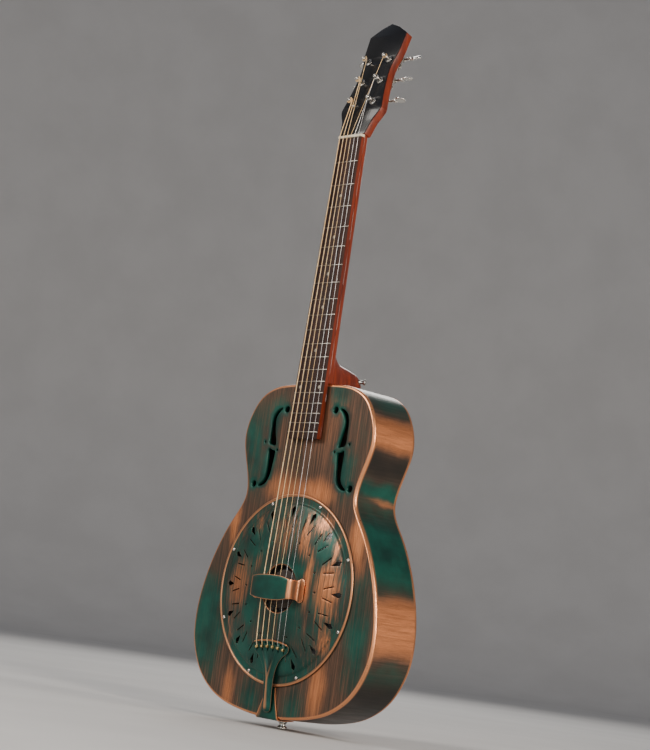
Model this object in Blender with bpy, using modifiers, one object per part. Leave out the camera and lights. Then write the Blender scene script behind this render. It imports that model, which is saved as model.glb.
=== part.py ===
"""Metal-bodied resonator guitar with one spun cone and a biscuit bridge.

Metres, +Z up along the neck. The front faces -Y and +X is the treble side.
The origin is the centre of the end pin's outer face, the lowest point of the guitar.
"""
from math import acos, atan2, cos, hypot, pi, radians, sin, tan

import bmesh
import bpy
from mathutils import Matrix, Vector

MM = 0.001
GAP = 0.3 * MM                      # kept between pieces that touch
OVER = 20 * MM                      # how far a cutter runs past what it cuts

# Body
FRONT_Y = -30 * MM                  # outer face of the top plate
BODY_DEPTH = 80 * MM
SHEET = 1.2 * MM                    # body sheet metal
CENTRE_Z = 188 * MM                 # centre of the cone and of the coverplate
BODY_POINTS = 72
# Half of the body outline from top to bottom: distance from the middle, height above the cone
HALF_BODY = [(0, 285.7), (45, 285.5), (80, 281), (108, 265.5), (125.5, 237), (131, 208), (124, 181),
             (113.5, 152), (110, 128), (118, 109.5), (140.5, 77.5), (161.5, 36), (175.5, -8), (181, -50),
             (175.5, -90), (152, -130), (112, -157), (60, -170), (0, -174.5)]
# Sound hole of the treble side: two crescents and the round ends beside them
UPPER_CRESCENT = [(57.5, 252), (66, 250), (73.5, 244), (77, 234), (77.5, 222), (76.5, 202), (70, 200),
                  (63, 199.5), (68.5, 222), (69.5, 236), (64.5, 246)]
LOWER_CRESCENT = [(76, 194), (68.5, 191), (62.5, 190), (64.5, 172), (66.5, 158), (72, 147), (80, 141.5),
                  (89, 140.5), (82, 145.5), (77, 152), (75.5, 163), (76, 178)]
ROUND_HOLES = [(49, 250, 4.2), (97, 143, 4.2), (85, 203, 1.6), (58, 192, 1.6)]

# Cone, well and bridge
WELL_R = 121.2 * MM
WELL_FLOOR_Y = 2.2 * MM
WELL_WALL = 1 * MM
WELL_LEDGE_R = 110 * MM
WELL_HOLE_R = 11 * MM
WELL_HOLE_PAIRS = 5
CONE_SHEET = 0.6 * MM
CONE_PROFILE = [(2.2, -2.5), (13, -2.5), (16, -3.2), (112, -28.5), (116, -31.3), (120.3, -31.3)]
BISCUIT_R = 27 * MM
BISCUIT_LOW = -2.2 * MM             # heights in front of the top plate
BISCUIT_TOP = 5 * MM
BISCUIT_BORE_R = 1.8 * MM
BISCUIT_BORE_TOP = 2.6 * MM
BISCUIT_SCREW = [(0, 2.3), (1.5, 2.3), (1.5, -3.4), (4, -3.4), (4, -4.6), (2.5, -5.4), (0, -5.4)]
SADDLE_Z = 190.5 * MM
SADDLE_HALF = 30 * MM
SADDLE_THICK = 3.2 * MM
SADDLE_TOP = 18 * MM
SADDLE_CROWN = 0.9 * MM             # how much lower the saddle's ends are
SLOT_DEPTH = 2 * MM

# Wooden parts inside
STICK_HALF = 12 * MM
STICK_Y = (8 * MM, 28 * MM)
BLOCK_HALF = 26 * MM
BLOCK_Y = (-14 * MM, 30 * MM)
BLOCK_Z = (16.2 * MM, 38 * MM)

# Coverplate
COVER_SHEET = 1 * MM
COVER_PROFILE = [(32.5, 11.2), (34.5, 12), (62, 11.5), (82, 10), (102, 7.2), (116, 3.6), (119, 1.6),
                 (128, 1.6), (129.8, 2.4), (132, 1.6)]
COVER_FLAT = 1.6 * MM               # height of the flat ring that the screws clamp
COVER_STEPS = 36
COVER_TURN = radians(3.3)           # keeps the facets' edges away from the tips of the cut shapes
KITES = 16
KITE = [(0, 98), (3.8, 110.5), (0, 114.8), (-3.8, 110.5)]
DIAMOND = [(0, 67), (1.6, 69), (0, 71), (-1.6, 69)]
SLIT_INNER = (6, 84)
SLIT_OUTER = (10.6, 100.5)
SLIT_HALF_WIDTH = 0.75
SCREW_RING_R = 125 * MM
SCREW_COUNT = 8
SCREW_R = 1.3 * MM
SCREW_HEAD = [(0, 1.6), (2.2, 0.9), (2.6, 0)]
SCREW_END = -4 * MM
# Half of the hand rest's bent strip: distance from the middle, height, half the strip's width
HALF_REST = [(50, 13.8, 15), (42.5, 13.9, 16.5), (40.7, 15, 14), (39.6, 19, 12.5), (39.4, 25, 12.8),
             (38.3, 29, 13.2), (35.2, 30.8, 13.6), (20, 31, 16.2), (0, 31, 17)]
REST_COLUMNS = (-1, -0.6, 0.6, 1)
REST_SHEET = 1.4 * MM

# Neck
NUT_Z = 828 * MM
NUT_SURFACE_Y = FRONT_Y - 0.2 * MM
NECK_TILT = radians(1.38)
SCALE = 635 * MM
FRETS = 19
BOARD_LOW_Z = 395.6 * MM
BOARD_THICK = 6 * MM
NUT_HALF = 23 * MM
TWELFTH_HALF = 28.5 * MM
HEEL_Z = 474.2 * MM                 # face of the heel against the body
BOARD_TO_NECK = BOARD_THICK + GAP   # from the board's surface down to the neck's upper face
# Height along the neck and depth of the shaft below the fretboard
SHAFT = [(838, 11), (828, 14.6), (780, 15), (700, 15.6), (620, 16.4), (560, 17), (530, 17.5), (474.2, 17.5)]
# Depth in Y of a slice through the heel, half its width, height of its top
HEEL = [(-24, 27, 540), (-16, 26, 529), (-10, 25, 520), (-4, 24, 513.5), (2, 23, 510), (10, 22, 508),
        (20, 21, 506), (30, 20, 504), (38, 19, 501.5), (42, 18, 498.5), (44.5, 16, 493)]
TONGUE_LOW_Z = BOARD_LOW_Z + 1 * MM
TONGUE_TOP_Z = HEEL_Z + 8 * MM
ROD_GROOVE_Z = (480 * MM, 820 * MM)
ROD_GROOVE = [(-3.2, -2), (3.2, -2), (3.2, 8), (-3.2, 8)]
ROD_R = 2.7 * MM
ROD_DEPTH = 4.2 * MM
BUTTON_BASE = Vector((16.5 * MM, 38 * MM, 490 * MM))
BUTTON_AIM = Vector((0.8, 0.6, 0))
BUTTON_SEAT_R = 4.7 * MM
BUTTON_BORE_R = 2 * MM
BUTTON_BORE_END = -9 * MM
BUTTON_PROFILE = [(0, 10), (3, 10), (4.4, 9), (4.4, 7.4), (2.7, 5.6), (2.7, 2.2), (4, 0.3), (1.7, 0.3),
                  (1.7, -8), (0, -8)]
FRET_SECTION = [(-1.1, 0.6), (1.1, 0.6), (1.1, -0.3), (0.5, -1.1), (-0.5, -1.1), (-1.1, -0.3)]
NUT_THICK = 3.8 * MM

# Headstock
HEAD_Y = -28 * MM
HEAD_Z = 833 * MM
HEAD_TILT = radians(15)
VENEER = 1.5 * MM
HEAD_THICK = 14 * MM
HALF_HEAD = [(24.3, 0.6), (26.8, 11), (30, 23), (35, 32), (39.2, 42), (37, 53), (34, 66), (31.2, 81),
             (28.7, 99), (29.3, 116), (32.7, 129), (34.6, 142), (36, 167.5)]
HEAD_PEAK = [(18, 179), (0, 186.5)]
POST_HOLE_R = 5 * MM

# Tuners
POSTS = [(18.7, 53.5), (18, 88.5), (20.3, 123.5)]      # from the middle, up the headstock
POST_R = 3 * MM
POST_TOP = 13.5 * MM
POST_END = 22.5 * MM
POST_TIP_R = 2.5 * MM
STRING_HOLE_R = 0.9 * MM
STRING_HOLE_RISE = 10.6 * MM
TEETH = 15
MODULE = 0.93 * MM
GEAR_R = TEETH * MODULE / 2
GEAR_THICK = 2.4 * MM
WORM_R = 3.3 * MM
WORM_LEAD = pi * MODULE
WORM_TURNS = 2.5
THREAD_SECTION = [(2.1, -0.8), (4.1, -0.25), (4.1, 0.25), (2.1, 0.8)]    # from the shaft's axis, along it
WORM_STEPS = 8
WORM_OFFSET = GEAR_R + WORM_R + 0.1 * MM
WORM_Y = 20.3 * MM
SHAFT_R = 2 * MM
EAR_X = 6 * MM
EAR_THICK = 1.3 * MM
EAR_HALF = 4 * MM
PLATE_Y = HEAD_THICK + GAP
PLATE_THICK = 1.2 * MM
PLATE_HALF = 8.5 * MM
PLATE_LOW = -9.5 * MM
FERRULE = [(5.6, 0.8), (5.6, 0.3), (4.6, 0.3), (4.6, -7), (3.5, -7), (3.5, 1.5)]
SHAFT_PROFILE = [(0, 25), (3.6, 24), (3.6, 21), (2, 19.5), (2, 5.6), (2.6, 5.6), (2.6, -5.6),
                 (2, -5.6), (2, -8.6), (0, -8.6)]
BEAN = (7 * MM, 2.9 * MM, 8.5 * MM)
BEAN_CENTRE = 32 * MM
BEAN_TURNS = (20, -35, 10, 50, 15, 0)                  # degrees about the shaft, in string order

# Strings, from the bass side
STRING_DIAMETERS = (1.35 * MM, 1.07 * MM, 0.81 * MM, 0.61 * MM, 0.43 * MM, 0.33 * MM)
NUT_SPREAD = 18.5 * MM
SADDLE_SPREAD = 28 * MM
TAIL_SPREAD = 29 * MM
NUT_TOP = 2 * MM                    # above the fretboard
WIND_LOW = 7.2 * MM                 # first turn on the post, above the headstock's face
WIND_TURNS = 2
WIND_STEPS = 8

# Tailpiece
TAIL_Z = CENTRE_Z - 72 * MM
TAIL_HEIGHT = 13 * MM
TAIL_TILT = radians(5.4)
TAIL_THICK = 1.6 * MM
HALF_TAIL = [(0, 2.6), (14, 1.8), (27, -0.4), (36, -3), (38.5, -9), (35, -14), (27, -18.5), (19.5, -25),
             (14, -34), (10.8, -44), (9.3, -54), (8.4, -70), (8.2, -88), (6, -93.5), (0, -95.5)]
TAIL_SLOT_HALF = 1.3 * MM
TAIL_SLOT_Z = (-12 * MM, -4 * MM)
RIDGE_R = 5.6 * MM
RIDGE_Z = (-88 * MM, -26 * MM)
STRAP_TOP_Z = CENTRE_Z - 132.6 * MM
BODY_LOW_Z = CENTRE_Z - 174.5 * MM
STRAP_LOW_Z = BODY_LOW_Z - GAP
# Centre line of the strap: world Y, Z and half its width
STRAP = [(FRONT_Y - GAP, STRAP_TOP_Z, 9.5 * MM), (FRONT_Y - GAP, CENTRE_Z - 150 * MM, 13 * MM),
         (FRONT_Y - GAP, STRAP_LOW_Z, 22.3 * MM), (-12 * MM, STRAP_LOW_Z, 20 * MM),
         (9 * MM, STRAP_LOW_Z, 12 * MM)]

# End pin
PIN_SHANK_R = 3.4 * MM
PIN_SEAT_Z = STRAP_LOW_Z - SHEET - GAP
PIN_END = [(0, 33), (2.6, 33)]
PIN_HEAD = [(4.4, 5.2), (7, 3.6), (7, 1.4), (5.4, 0), (0, 0)]

STANDING = Matrix.Rotation(pi / 2, 4, "X")       # drawing plane to the XZ plane
PIECES = {}


def wipe():
    for old in list(bpy.data.objects):
        bpy.data.objects.remove(old)


def group(name):
    made = bpy.data.collections.new(name)
    bpy.context.scene.collection.children.link(made)
    return made


def material(name, colour, roughness, metallic=0.0):
    made = bpy.data.materials.new(name)
    made.use_nodes = True
    shader = made.node_tree.nodes["Principled BSDF"]
    shader.inputs["Base Color"].default_value = (*colour, 1)
    shader.inputs["Roughness"].default_value = roughness
    shader.inputs["Metallic"].default_value = metallic
    return made


def smooth_line(points, count, closed=False):
    """Catmull-Rom curve through the points, as `count` points evenly spaced along it."""
    points = [Vector(p) for p in points]
    size = len(points)
    fine = []
    spans = size if closed else size - 1
    for i in range(spans):
        if closed:
            a, b, c, d = (points[(i + k) % size] for k in (-1, 0, 1, 2))
        else:
            a, b, c, d = (points[min(max(i + k, 0), size - 1)] for k in (-1, 0, 1, 2))
        for step in range(16):
            t = step / 16
            fine.append(0.5 * (2 * b + (c - a) * t + (2 * a - 5 * b + 4 * c - d) * t * t
                               + (3 * b - a - 3 * c + d) * t ** 3))
    fine.append(points[0] if closed else points[-1])
    lengths = [0.0]
    for p, q in zip(fine, fine[1:]):
        lengths.append(lengths[-1] + (q - p).length)
    result = []
    i = 0
    for k in range(count):
        goal = lengths[-1] * k / (count if closed else count - 1)
        while i < len(fine) - 2 and lengths[i + 1] < goal:
            i += 1
        span = lengths[i + 1] - lengths[i]
        result.append(fine[i].lerp(fine[i + 1], (goal - lengths[i]) / span if span else 0))
    return result


def mirrored(half):
    """Closed outline from its half, whose first and last points may lie on the middle line."""
    return half + [(-x, z) for x, z in reversed(half) if x > 0]


def mm(points):
    return [tuple(value * MM for value in point) for point in points]


def raised(points, height):
    return [(x, z + height) for x, z in points]


def circle(x, z, radius, sides=12):
    return [(x + radius * cos(2 * pi * k / sides), z + radius * sin(2 * pi * k / sides)) for k in range(sides)]


def finish(obj, name, look, home, matrix=None, parent=None):
    obj.name = name
    obj.data.name = name
    home.objects.link(obj)
    if parent:
        obj.parent = parent
    if matrix is not None:
        obj.matrix_local = matrix
    if look:
        obj.data.materials.append(look)
        PIECES[name] = obj
    else:
        obj.hide_render = True
        obj.display_type = "WIRE"
    return obj


def from_bmesh(bm):
    bmesh.ops.recalc_face_normals(bm, faces=bm.faces)
    mesh = bpy.data.meshes.new("mesh")
    bm.to_mesh(mesh)
    bm.free()
    return bpy.data.objects.new("piece", mesh)


def from_curve(data):
    """Welded mesh object of a curve; the curve is removed."""
    curve = bpy.data.objects.new("curve", data)
    bpy.context.scene.collection.objects.link(curve)
    evaluated = curve.evaluated_get(bpy.context.evaluated_depsgraph_get())
    mesh = bpy.data.meshes.new_from_object(evaluated)
    bm = bmesh.new()
    bm.from_mesh(mesh)
    bmesh.ops.remove_doubles(bm, verts=bm.verts, dist=1e-6)
    bmesh.ops.recalc_face_normals(bm, faces=bm.faces)
    bm.to_mesh(mesh)
    bm.free()
    bpy.data.objects.remove(curve)
    return bpy.data.objects.new("piece", mesh)


def flat(outlines, thickness):
    """Flat shape of one or more outlines, those inside another being holes, centred on its plane."""
    data = bpy.data.curves.new("outline", "CURVE")
    data.dimensions = "2D"
    data.fill_mode = "BOTH"
    data.extrude = thickness / 2
    for outline in outlines:
        spline = data.splines.new("POLY")
        spline.points.add(len(outline) - 1)
        for point, (x, z) in zip(spline.points, outline):
            point.co = (x, z, 0, 1)
        spline.use_cyclic_u = True
    return from_curve(data)


def tube(points, radius):
    data = bpy.data.curves.new("tube", "CURVE")
    data.dimensions = "3D"
    data.bevel_depth = radius
    data.bevel_resolution = 2
    data.use_fill_caps = True
    spline = data.splines.new("POLY")
    spline.points.add(len(points) - 1)
    for point, place in zip(spline.points, points):
        point.co = (*place, 1)
    return from_curve(data)


def box(low, high):
    bm = bmesh.new()
    bmesh.ops.create_cube(bm, size=1)
    size = Vector(high) - Vector(low)
    middle = (Vector(high) + Vector(low)) / 2
    bmesh.ops.transform(bm, matrix=Matrix.Translation(middle) @ Matrix.Diagonal((*size, 1)), verts=bm.verts)
    return from_bmesh(bm)


def rod(radius, low, high, sides=12):
    """Cylinder along Z."""
    bm = bmesh.new()
    bmesh.ops.create_cone(bm, cap_ends=True, segments=sides, radius1=radius, radius2=radius, depth=high - low)
    bmesh.ops.translate(bm, vec=(0, 0, (low + high) / 2), verts=bm.verts)
    return from_bmesh(bm)


def turned(profile, steps, closed=True, sheet=0.0):
    """Profile of (radius, height) points turned about Z; with `sheet` it is a shell of that thickness."""
    bm = bmesh.new()
    verts = [bm.verts.new((r, 0, z)) for r, z in profile]
    for a, b in zip(verts, verts[1:]):
        bm.edges.new((a, b))
    if closed and profile[0][0] > 0:
        bm.edges.new((verts[-1], verts[0]))
    mesh = bpy.data.meshes.new("profile")
    bm.to_mesh(mesh)
    bm.free()
    obj = bpy.data.objects.new("piece", mesh)
    screw = obj.modifiers.new("Turn", "SCREW")
    screw.steps = screw.render_steps = steps
    screw.use_merge_vertices = True
    screw.merge_threshold = 1e-6
    if sheet:
        shell = obj.modifiers.new("Shell", "SOLIDIFY")
        shell.thickness = sheet
        shell.offset = -1
        shell.use_even_offset = True
    return obj


def loft(sections):
    """Closed solid through rings of points, each ring with the same number of points."""
    bm = bmesh.new()
    rings = [[bm.verts.new(p) for p in section] for section in sections]
    size = len(rings[0])
    for low, high in zip(rings, rings[1:]):
        for i in range(size):
            j = (i + 1) % size
            bm.faces.new((low[i], low[j], high[j], high[i]))
    bm.faces.new(rings[0])
    bm.faces.new(rings[-1])
    return from_bmesh(bm)


def boolean(target, other, operation="DIFFERENCE"):
    change = target.modifiers.new(other.name, "BOOLEAN")
    change.operation = operation
    change.solver = "EXACT"
    change.object = other
    return target


def height(h):
    """World Y of a point `h` in front of the top plate."""
    return FRONT_Y - h


def facing_front(x, z):
    """Places a piece turned about its Z axis so that +Z points out of the guitar's front."""
    return Matrix.Translation((x, FRONT_Y, z)) @ STANDING


def board_y(z):
    """World Y of the fretboard's surface at height z."""
    return NUT_SURFACE_Y - (NUT_Z - z) * tan(NECK_TILT)


def board_half(z):
    return NUT_HALF + (TWELFTH_HALF - NUT_HALF) * (NUT_Z - z) / (SCALE / 2)


def spread(half, index):
    """Place of string `index` of six that are spaced evenly over twice `half`."""
    return half * (index / 2.5 - 1)


# --- body ---------------------------------------------------------------------------------------

def body_outline():
    return smooth_line(mirrored(raised(mm(HALF_BODY), CENTRE_Z)), BODY_POINTS, closed=True)


def screw_places():
    for k in range(SCREW_COUNT):
        angle = (k + 0.5) * 2 * pi / SCREW_COUNT
        yield SCREW_RING_R * sin(angle), SCREW_RING_R * cos(angle)


def build_body(parts, cutters, looks):
    outline = body_outline()
    holes = [circle(0, CENTRE_Z, WELL_R, COVER_STEPS)]
    for side in (-1, 1):
        crescents = (smooth_line(mm(UPPER_CRESCENT), 14, True), smooth_line(mm(LOWER_CRESCENT), 14, True))
        for crescent in crescents:
            holes.append([(side * x, z + CENTRE_Z) for x, z in crescent])
        for x, z, radius in mm(ROUND_HOLES):
            holes.append(circle(side * x, z + CENTRE_Z, radius, 6 if radius < 2 * MM else 10))
    for x, z in screw_places():
        holes.append(circle(x, z + CENTRE_Z, SCREW_R + 2 * GAP / 3, 8))
    top = flat([outline] + holes, SHEET)
    finish(top, "body_top", looks["body"], parts, Matrix.Translation((0, FRONT_Y + SHEET / 2, 0)) @ STANDING)

    back_y = FRONT_Y + BODY_DEPTH
    back = flat([outline], SHEET)
    finish(back, "body_back", looks["body"], parts, Matrix.Translation((0, back_y - SHEET / 2, 0)) @ STANDING)

    low_y = FRONT_Y + SHEET + GAP
    high_y = back_y - SHEET - GAP
    bm = bmesh.new()
    rings = [[bm.verts.new((x, y, z)) for x, z in outline] for y in (low_y, high_y)]
    for i in range(BODY_POINTS):
        j = (i + 1) % BODY_POINTS
        bm.faces.new((rings[0][i], rings[0][j], rings[1][j], rings[1][i]))
    sides = from_bmesh(bm)
    shell = sides.modifiers.new("Sheet", "SOLIDIFY")
    shell.thickness = SHEET
    shell.offset = -1
    finish(sides, "body_sides", looks["body"], parts)
    stick = box((-STICK_HALF - GAP, STICK_Y[0] - GAP, HEEL_Z - OVER),
                (STICK_HALF + GAP, STICK_Y[1] + GAP, HEEL_Z + OVER))
    boolean(sides, finish(stick, "stick_slot", None, cutters))
    pin = rod(PIN_SHANK_R + 2 * GAP, BODY_LOW_Z - OVER, BODY_LOW_Z + 2 * OVER)
    boolean(sides, finish(pin, "pin_hole", None, cutters))


# --- inside the body ----------------------------------------------------------------------------

def build_inside(parts, cutters, looks):
    top = -SHEET - GAP
    floor = FRONT_Y - WELL_FLOOR_Y
    outer = WELL_R + WELL_WALL
    under = floor - WELL_WALL
    well = turned([(outer, top), (outer, under), (WELL_LEDGE_R, under), (WELL_LEDGE_R, floor),
                   (WELL_R, floor), (WELL_R, top)], COVER_STEPS)
    finish(well, "sound_well", looks["inner_metal"], parts, facing_front(0, CENTRE_Z))
    for k in range(WELL_HOLE_PAIRS):
        bar = rod(WELL_HOLE_R, -WELL_R - OVER, WELL_R + OVER, 8)
        turn = Matrix.Rotation(pi * (k + 0.5) / WELL_HOLE_PAIRS, 4, "Y")
        place = Matrix.Translation((0, (FRONT_Y + WELL_FLOOR_Y) / 2, CENTRE_Z)) @ turn
        boolean(well, finish(bar, f"well_bar_{k + 1}", None, cutters, place))

    cone = turned(mm(CONE_PROFILE), COVER_STEPS, closed=False, sheet=CONE_SHEET)
    finish(cone, "resonator_cone", looks["aluminium"], parts, facing_front(0, CENTRE_Z))

    biscuit = rod(BISCUIT_R, BISCUIT_LOW, BISCUIT_TOP, 24)
    finish(biscuit, "biscuit", looks["maple"], parts, facing_front(0, CENTRE_Z))
    slot_z = SADDLE_Z - CENTRE_Z
    slot = box((-BISCUIT_R - OVER, slot_z - SADDLE_THICK / 2 - GAP, BISCUIT_TOP - SLOT_DEPTH - GAP),
               (BISCUIT_R + OVER, slot_z + SADDLE_THICK / 2 + GAP, BISCUIT_TOP + OVER))
    boolean(biscuit, finish(slot, "saddle_slot", None, cutters, facing_front(0, CENTRE_Z)))
    bore = rod(BISCUIT_BORE_R, BISCUIT_LOW - OVER, BISCUIT_BORE_TOP, 8)
    boolean(biscuit, finish(bore, "biscuit_bore", None, cutters, facing_front(0, CENTRE_Z)))
    screw = turned(mm(BISCUIT_SCREW), 12)
    finish(screw, "biscuit_screw", looks["nickel"], parts, facing_front(0, CENTRE_Z))

    low = BISCUIT_TOP - SLOT_DEPTH
    crown = [(SADDLE_HALF * k / 4, SADDLE_TOP - saddle_drop(SADDLE_HALF * k / 4)) for k in range(4, -5, -1)]
    saddle = flat([[(-SADDLE_HALF, low), (SADDLE_HALF, low)] + crown], SADDLE_THICK)
    turn = Matrix.Rotation(pi, 4, "Z")
    finish(saddle, "saddle", looks["ebony"], parts, Matrix.Translation((0, FRONT_Y, SADDLE_Z)) @ turn)

    stick = box((-STICK_HALF, STICK_Y[0], BLOCK_Z[1] + GAP), (STICK_HALF, STICK_Y[1], HEEL_Z - GAP))
    finish(stick, "neck_stick", looks["mahogany"], parts)
    block = box((-BLOCK_HALF, BLOCK_Y[0], BLOCK_Z[0]), (BLOCK_HALF, BLOCK_Y[1], BLOCK_Z[1]))
    finish(block, "end_block", looks["mahogany"], parts)
    hole = rod(PIN_SHANK_R + 2 * GAP, -OVER, BLOCK_Z[1] - 3 * MM)
    boolean(block, finish(hole, "block_hole", None, cutters))


# --- coverplate and hand rest -------------------------------------------------------------------

def turned_points(points, angle):
    turn = Matrix.Rotation(-angle, 2)
    return [tuple(turn @ Vector(p) * MM) for p in points]


def slit(side):
    """Narrow slit beside a kite, closer to it at the inner end."""
    inner = Vector((side * SLIT_INNER[0], SLIT_INNER[1]))
    outer = Vector((side * SLIT_OUTER[0], SLIT_OUTER[1]))
    across = (outer - inner).orthogonal().normalized() * SLIT_HALF_WIDTH
    return [inner - across, outer - across, outer + across, inner + across]


def build_cover(parts, cutters, looks):
    cover = turned(mm(COVER_PROFILE), COVER_STEPS, closed=False, sheet=COVER_SHEET)
    turn = Matrix.Rotation(COVER_TURN, 4, "Z")
    finish(cover, "coverplate", looks["body"], parts, facing_front(0, CENTRE_Z) @ turn)
    holes = []
    for k in range(KITES):
        angle = 2 * pi * k / KITES
        holes += [turned_points(shape, angle) for shape in (KITE, slit(-1), slit(1), DIAMOND)]
    holes += [circle(x, z, SCREW_R + 2 * GAP / 3, 8) for x, z in screw_places()]
    pattern = flat(holes, 2 * OVER)
    boolean(cover, finish(pattern, "cover_holes", None, cutters, facing_front(0, CENTRE_Z)))

    head = COVER_FLAT + GAP
    for index, (x, z) in enumerate(screw_places()):
        shank = [(SCREW_R, head), (SCREW_R, SCREW_END), (0, SCREW_END)]
        screw = turned(raised(mm(SCREW_HEAD), head) + shank, 8)
        finish(screw, f"cover_screw_{index + 1}", looks["nickel"], parts, facing_front(x, CENTRE_Z + z))

    half = mm(HALF_REST)
    strip = half + [(-x, h, w) for x, h, w in reversed(half[:-1])]
    bm = bmesh.new()
    rows = [[bm.verts.new((x, height(h), CENTRE_Z + w * c)) for c in REST_COLUMNS] for x, h, w in strip]
    for a, b in zip(rows, rows[1:]):
        for i in range(len(REST_COLUMNS) - 1):
            bm.faces.new((a[i], a[i + 1], b[i + 1], b[i]))
    middle = len(rows) // 2
    rest = from_bmesh(bm)
    if rest.data.polygons[middle * (len(REST_COLUMNS) - 1)].normal.y > 0:
        rest.data.flip_normals()
    shell = rest.modifiers.new("Sheet", "SOLIDIFY")
    shell.thickness = REST_SHEET
    shell.offset = -1
    finish(rest, "hand_rest", looks["body"], parts)


# --- tailpiece, strap and pins ------------------------------------------------------------------

def tail_matrix():
    return Matrix.Translation((0, height(TAIL_HEIGHT), TAIL_Z)) @ Matrix.Rotation(TAIL_TILT, 4, "X")


def build_tail(parts, cutters, looks):
    outline = smooth_line(mirrored(mm(HALF_TAIL)), 56, closed=True)
    slots = []
    low, top = TAIL_SLOT_Z
    for index in range(6):
        left = spread(TAIL_SPREAD, index) - TAIL_SLOT_HALF
        right = spread(TAIL_SPREAD, index) + TAIL_SLOT_HALF
        slots.append([(left, low), (right, low), (right, top), (left, top)])
    tail = flat([outline] + slots, TAIL_THICK)
    place = tail_matrix() @ Matrix.Translation((0, TAIL_THICK / 2, 0)) @ STANDING
    finish(tail, "tailpiece", looks["body"], parts, place)
    bm = bmesh.new()
    bmesh.ops.create_uvsphere(bm, u_segments=12, v_segments=8, radius=RIDGE_R)
    for vert in bm.verts:
        vert.co.y *= 0.5
        vert.co.z += RIDGE_Z[1] if vert.co.z > 1e-6 else RIDGE_Z[0]
    ridge = from_bmesh(bm)
    boolean(tail, finish(ridge, "tail_ridge", None, cutters, tail_matrix()), "UNION")

    # The strap lies on the top plate and wraps round the body's lower edge
    bm = bmesh.new()
    rows = [[bm.verts.new((side * half, y, z)) for side in (-1, 1)] for y, z, half in STRAP]
    for a, b in zip(rows, rows[1:]):
        bm.faces.new((a[0], a[1], b[1], b[0]))
    strap = from_bmesh(bm)
    if strap.data.polygons[0].normal.y > 0:
        strap.data.flip_normals()
    shell = strap.modifiers.new("Sheet", "SOLIDIFY")
    shell.thickness = SHEET
    shell.offset = 1
    shell.use_even_offset = True
    finish(strap, "tailpiece_strap", looks["body"], parts)
    hole = rod(PIN_SHANK_R + 2 * GAP, -OVER, OVER)
    boolean(strap, finish(hole, "strap_hole", None, cutters))

    collar = raised(mm([(6.4, 0), (6.4, -1.6), (4.4, -3.4)]), PIN_SEAT_Z)
    pin = turned(mm(PIN_END) + [(PIN_SHANK_R, PIN_SEAT_Z)] + collar + mm(PIN_HEAD), 14)
    finish(pin, "end_pin", looks["nickel"], parts)


# --- neck ---------------------------------------------------------------------------------------

def neck_section(z, half, depth, steps=10):
    """D-shaped section: flat under the fretboard, round behind."""
    top = board_y(z) + BOARD_TO_NECK
    side = 2.5 * MM
    ring = [(-half, top, z), (half, top, z)]
    for k in range(steps + 1):
        angle = pi * k / steps
        ring.append((half * cos(angle), top + side + (depth - side) * sin(angle) ** 0.85, z))
    return ring


def heel_section(y, half, peak, steps=10):
    """Arch standing on the body's upper edge, in the plane of one depth."""
    ring = []
    for k in range(steps + 1):
        angle = pi * k / steps
        ring.append((half * cos(angle), y, HEEL_Z + (peak - HEEL_Z) * sin(angle) ** 0.75))
    return ring


def head_matrix():
    return Matrix.Translation((0, HEAD_Y, HEAD_Z)) @ Matrix.Rotation(-HEAD_TILT, 4, "X")


def head_outline():
    return mirrored([tuple(p) for p in smooth_line(mm(HALF_HEAD), 16)] + mm(HEAD_PEAK))


def post_places():
    """(name suffix, side, x, distance up the headstock) of the posts in string order."""
    rows = mm(POSTS) + mm(reversed(POSTS))
    for index, (x, up) in enumerate(rows):
        side = -1 if index < len(POSTS) else 1
        yield index + 1, side, side * x, up


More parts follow.
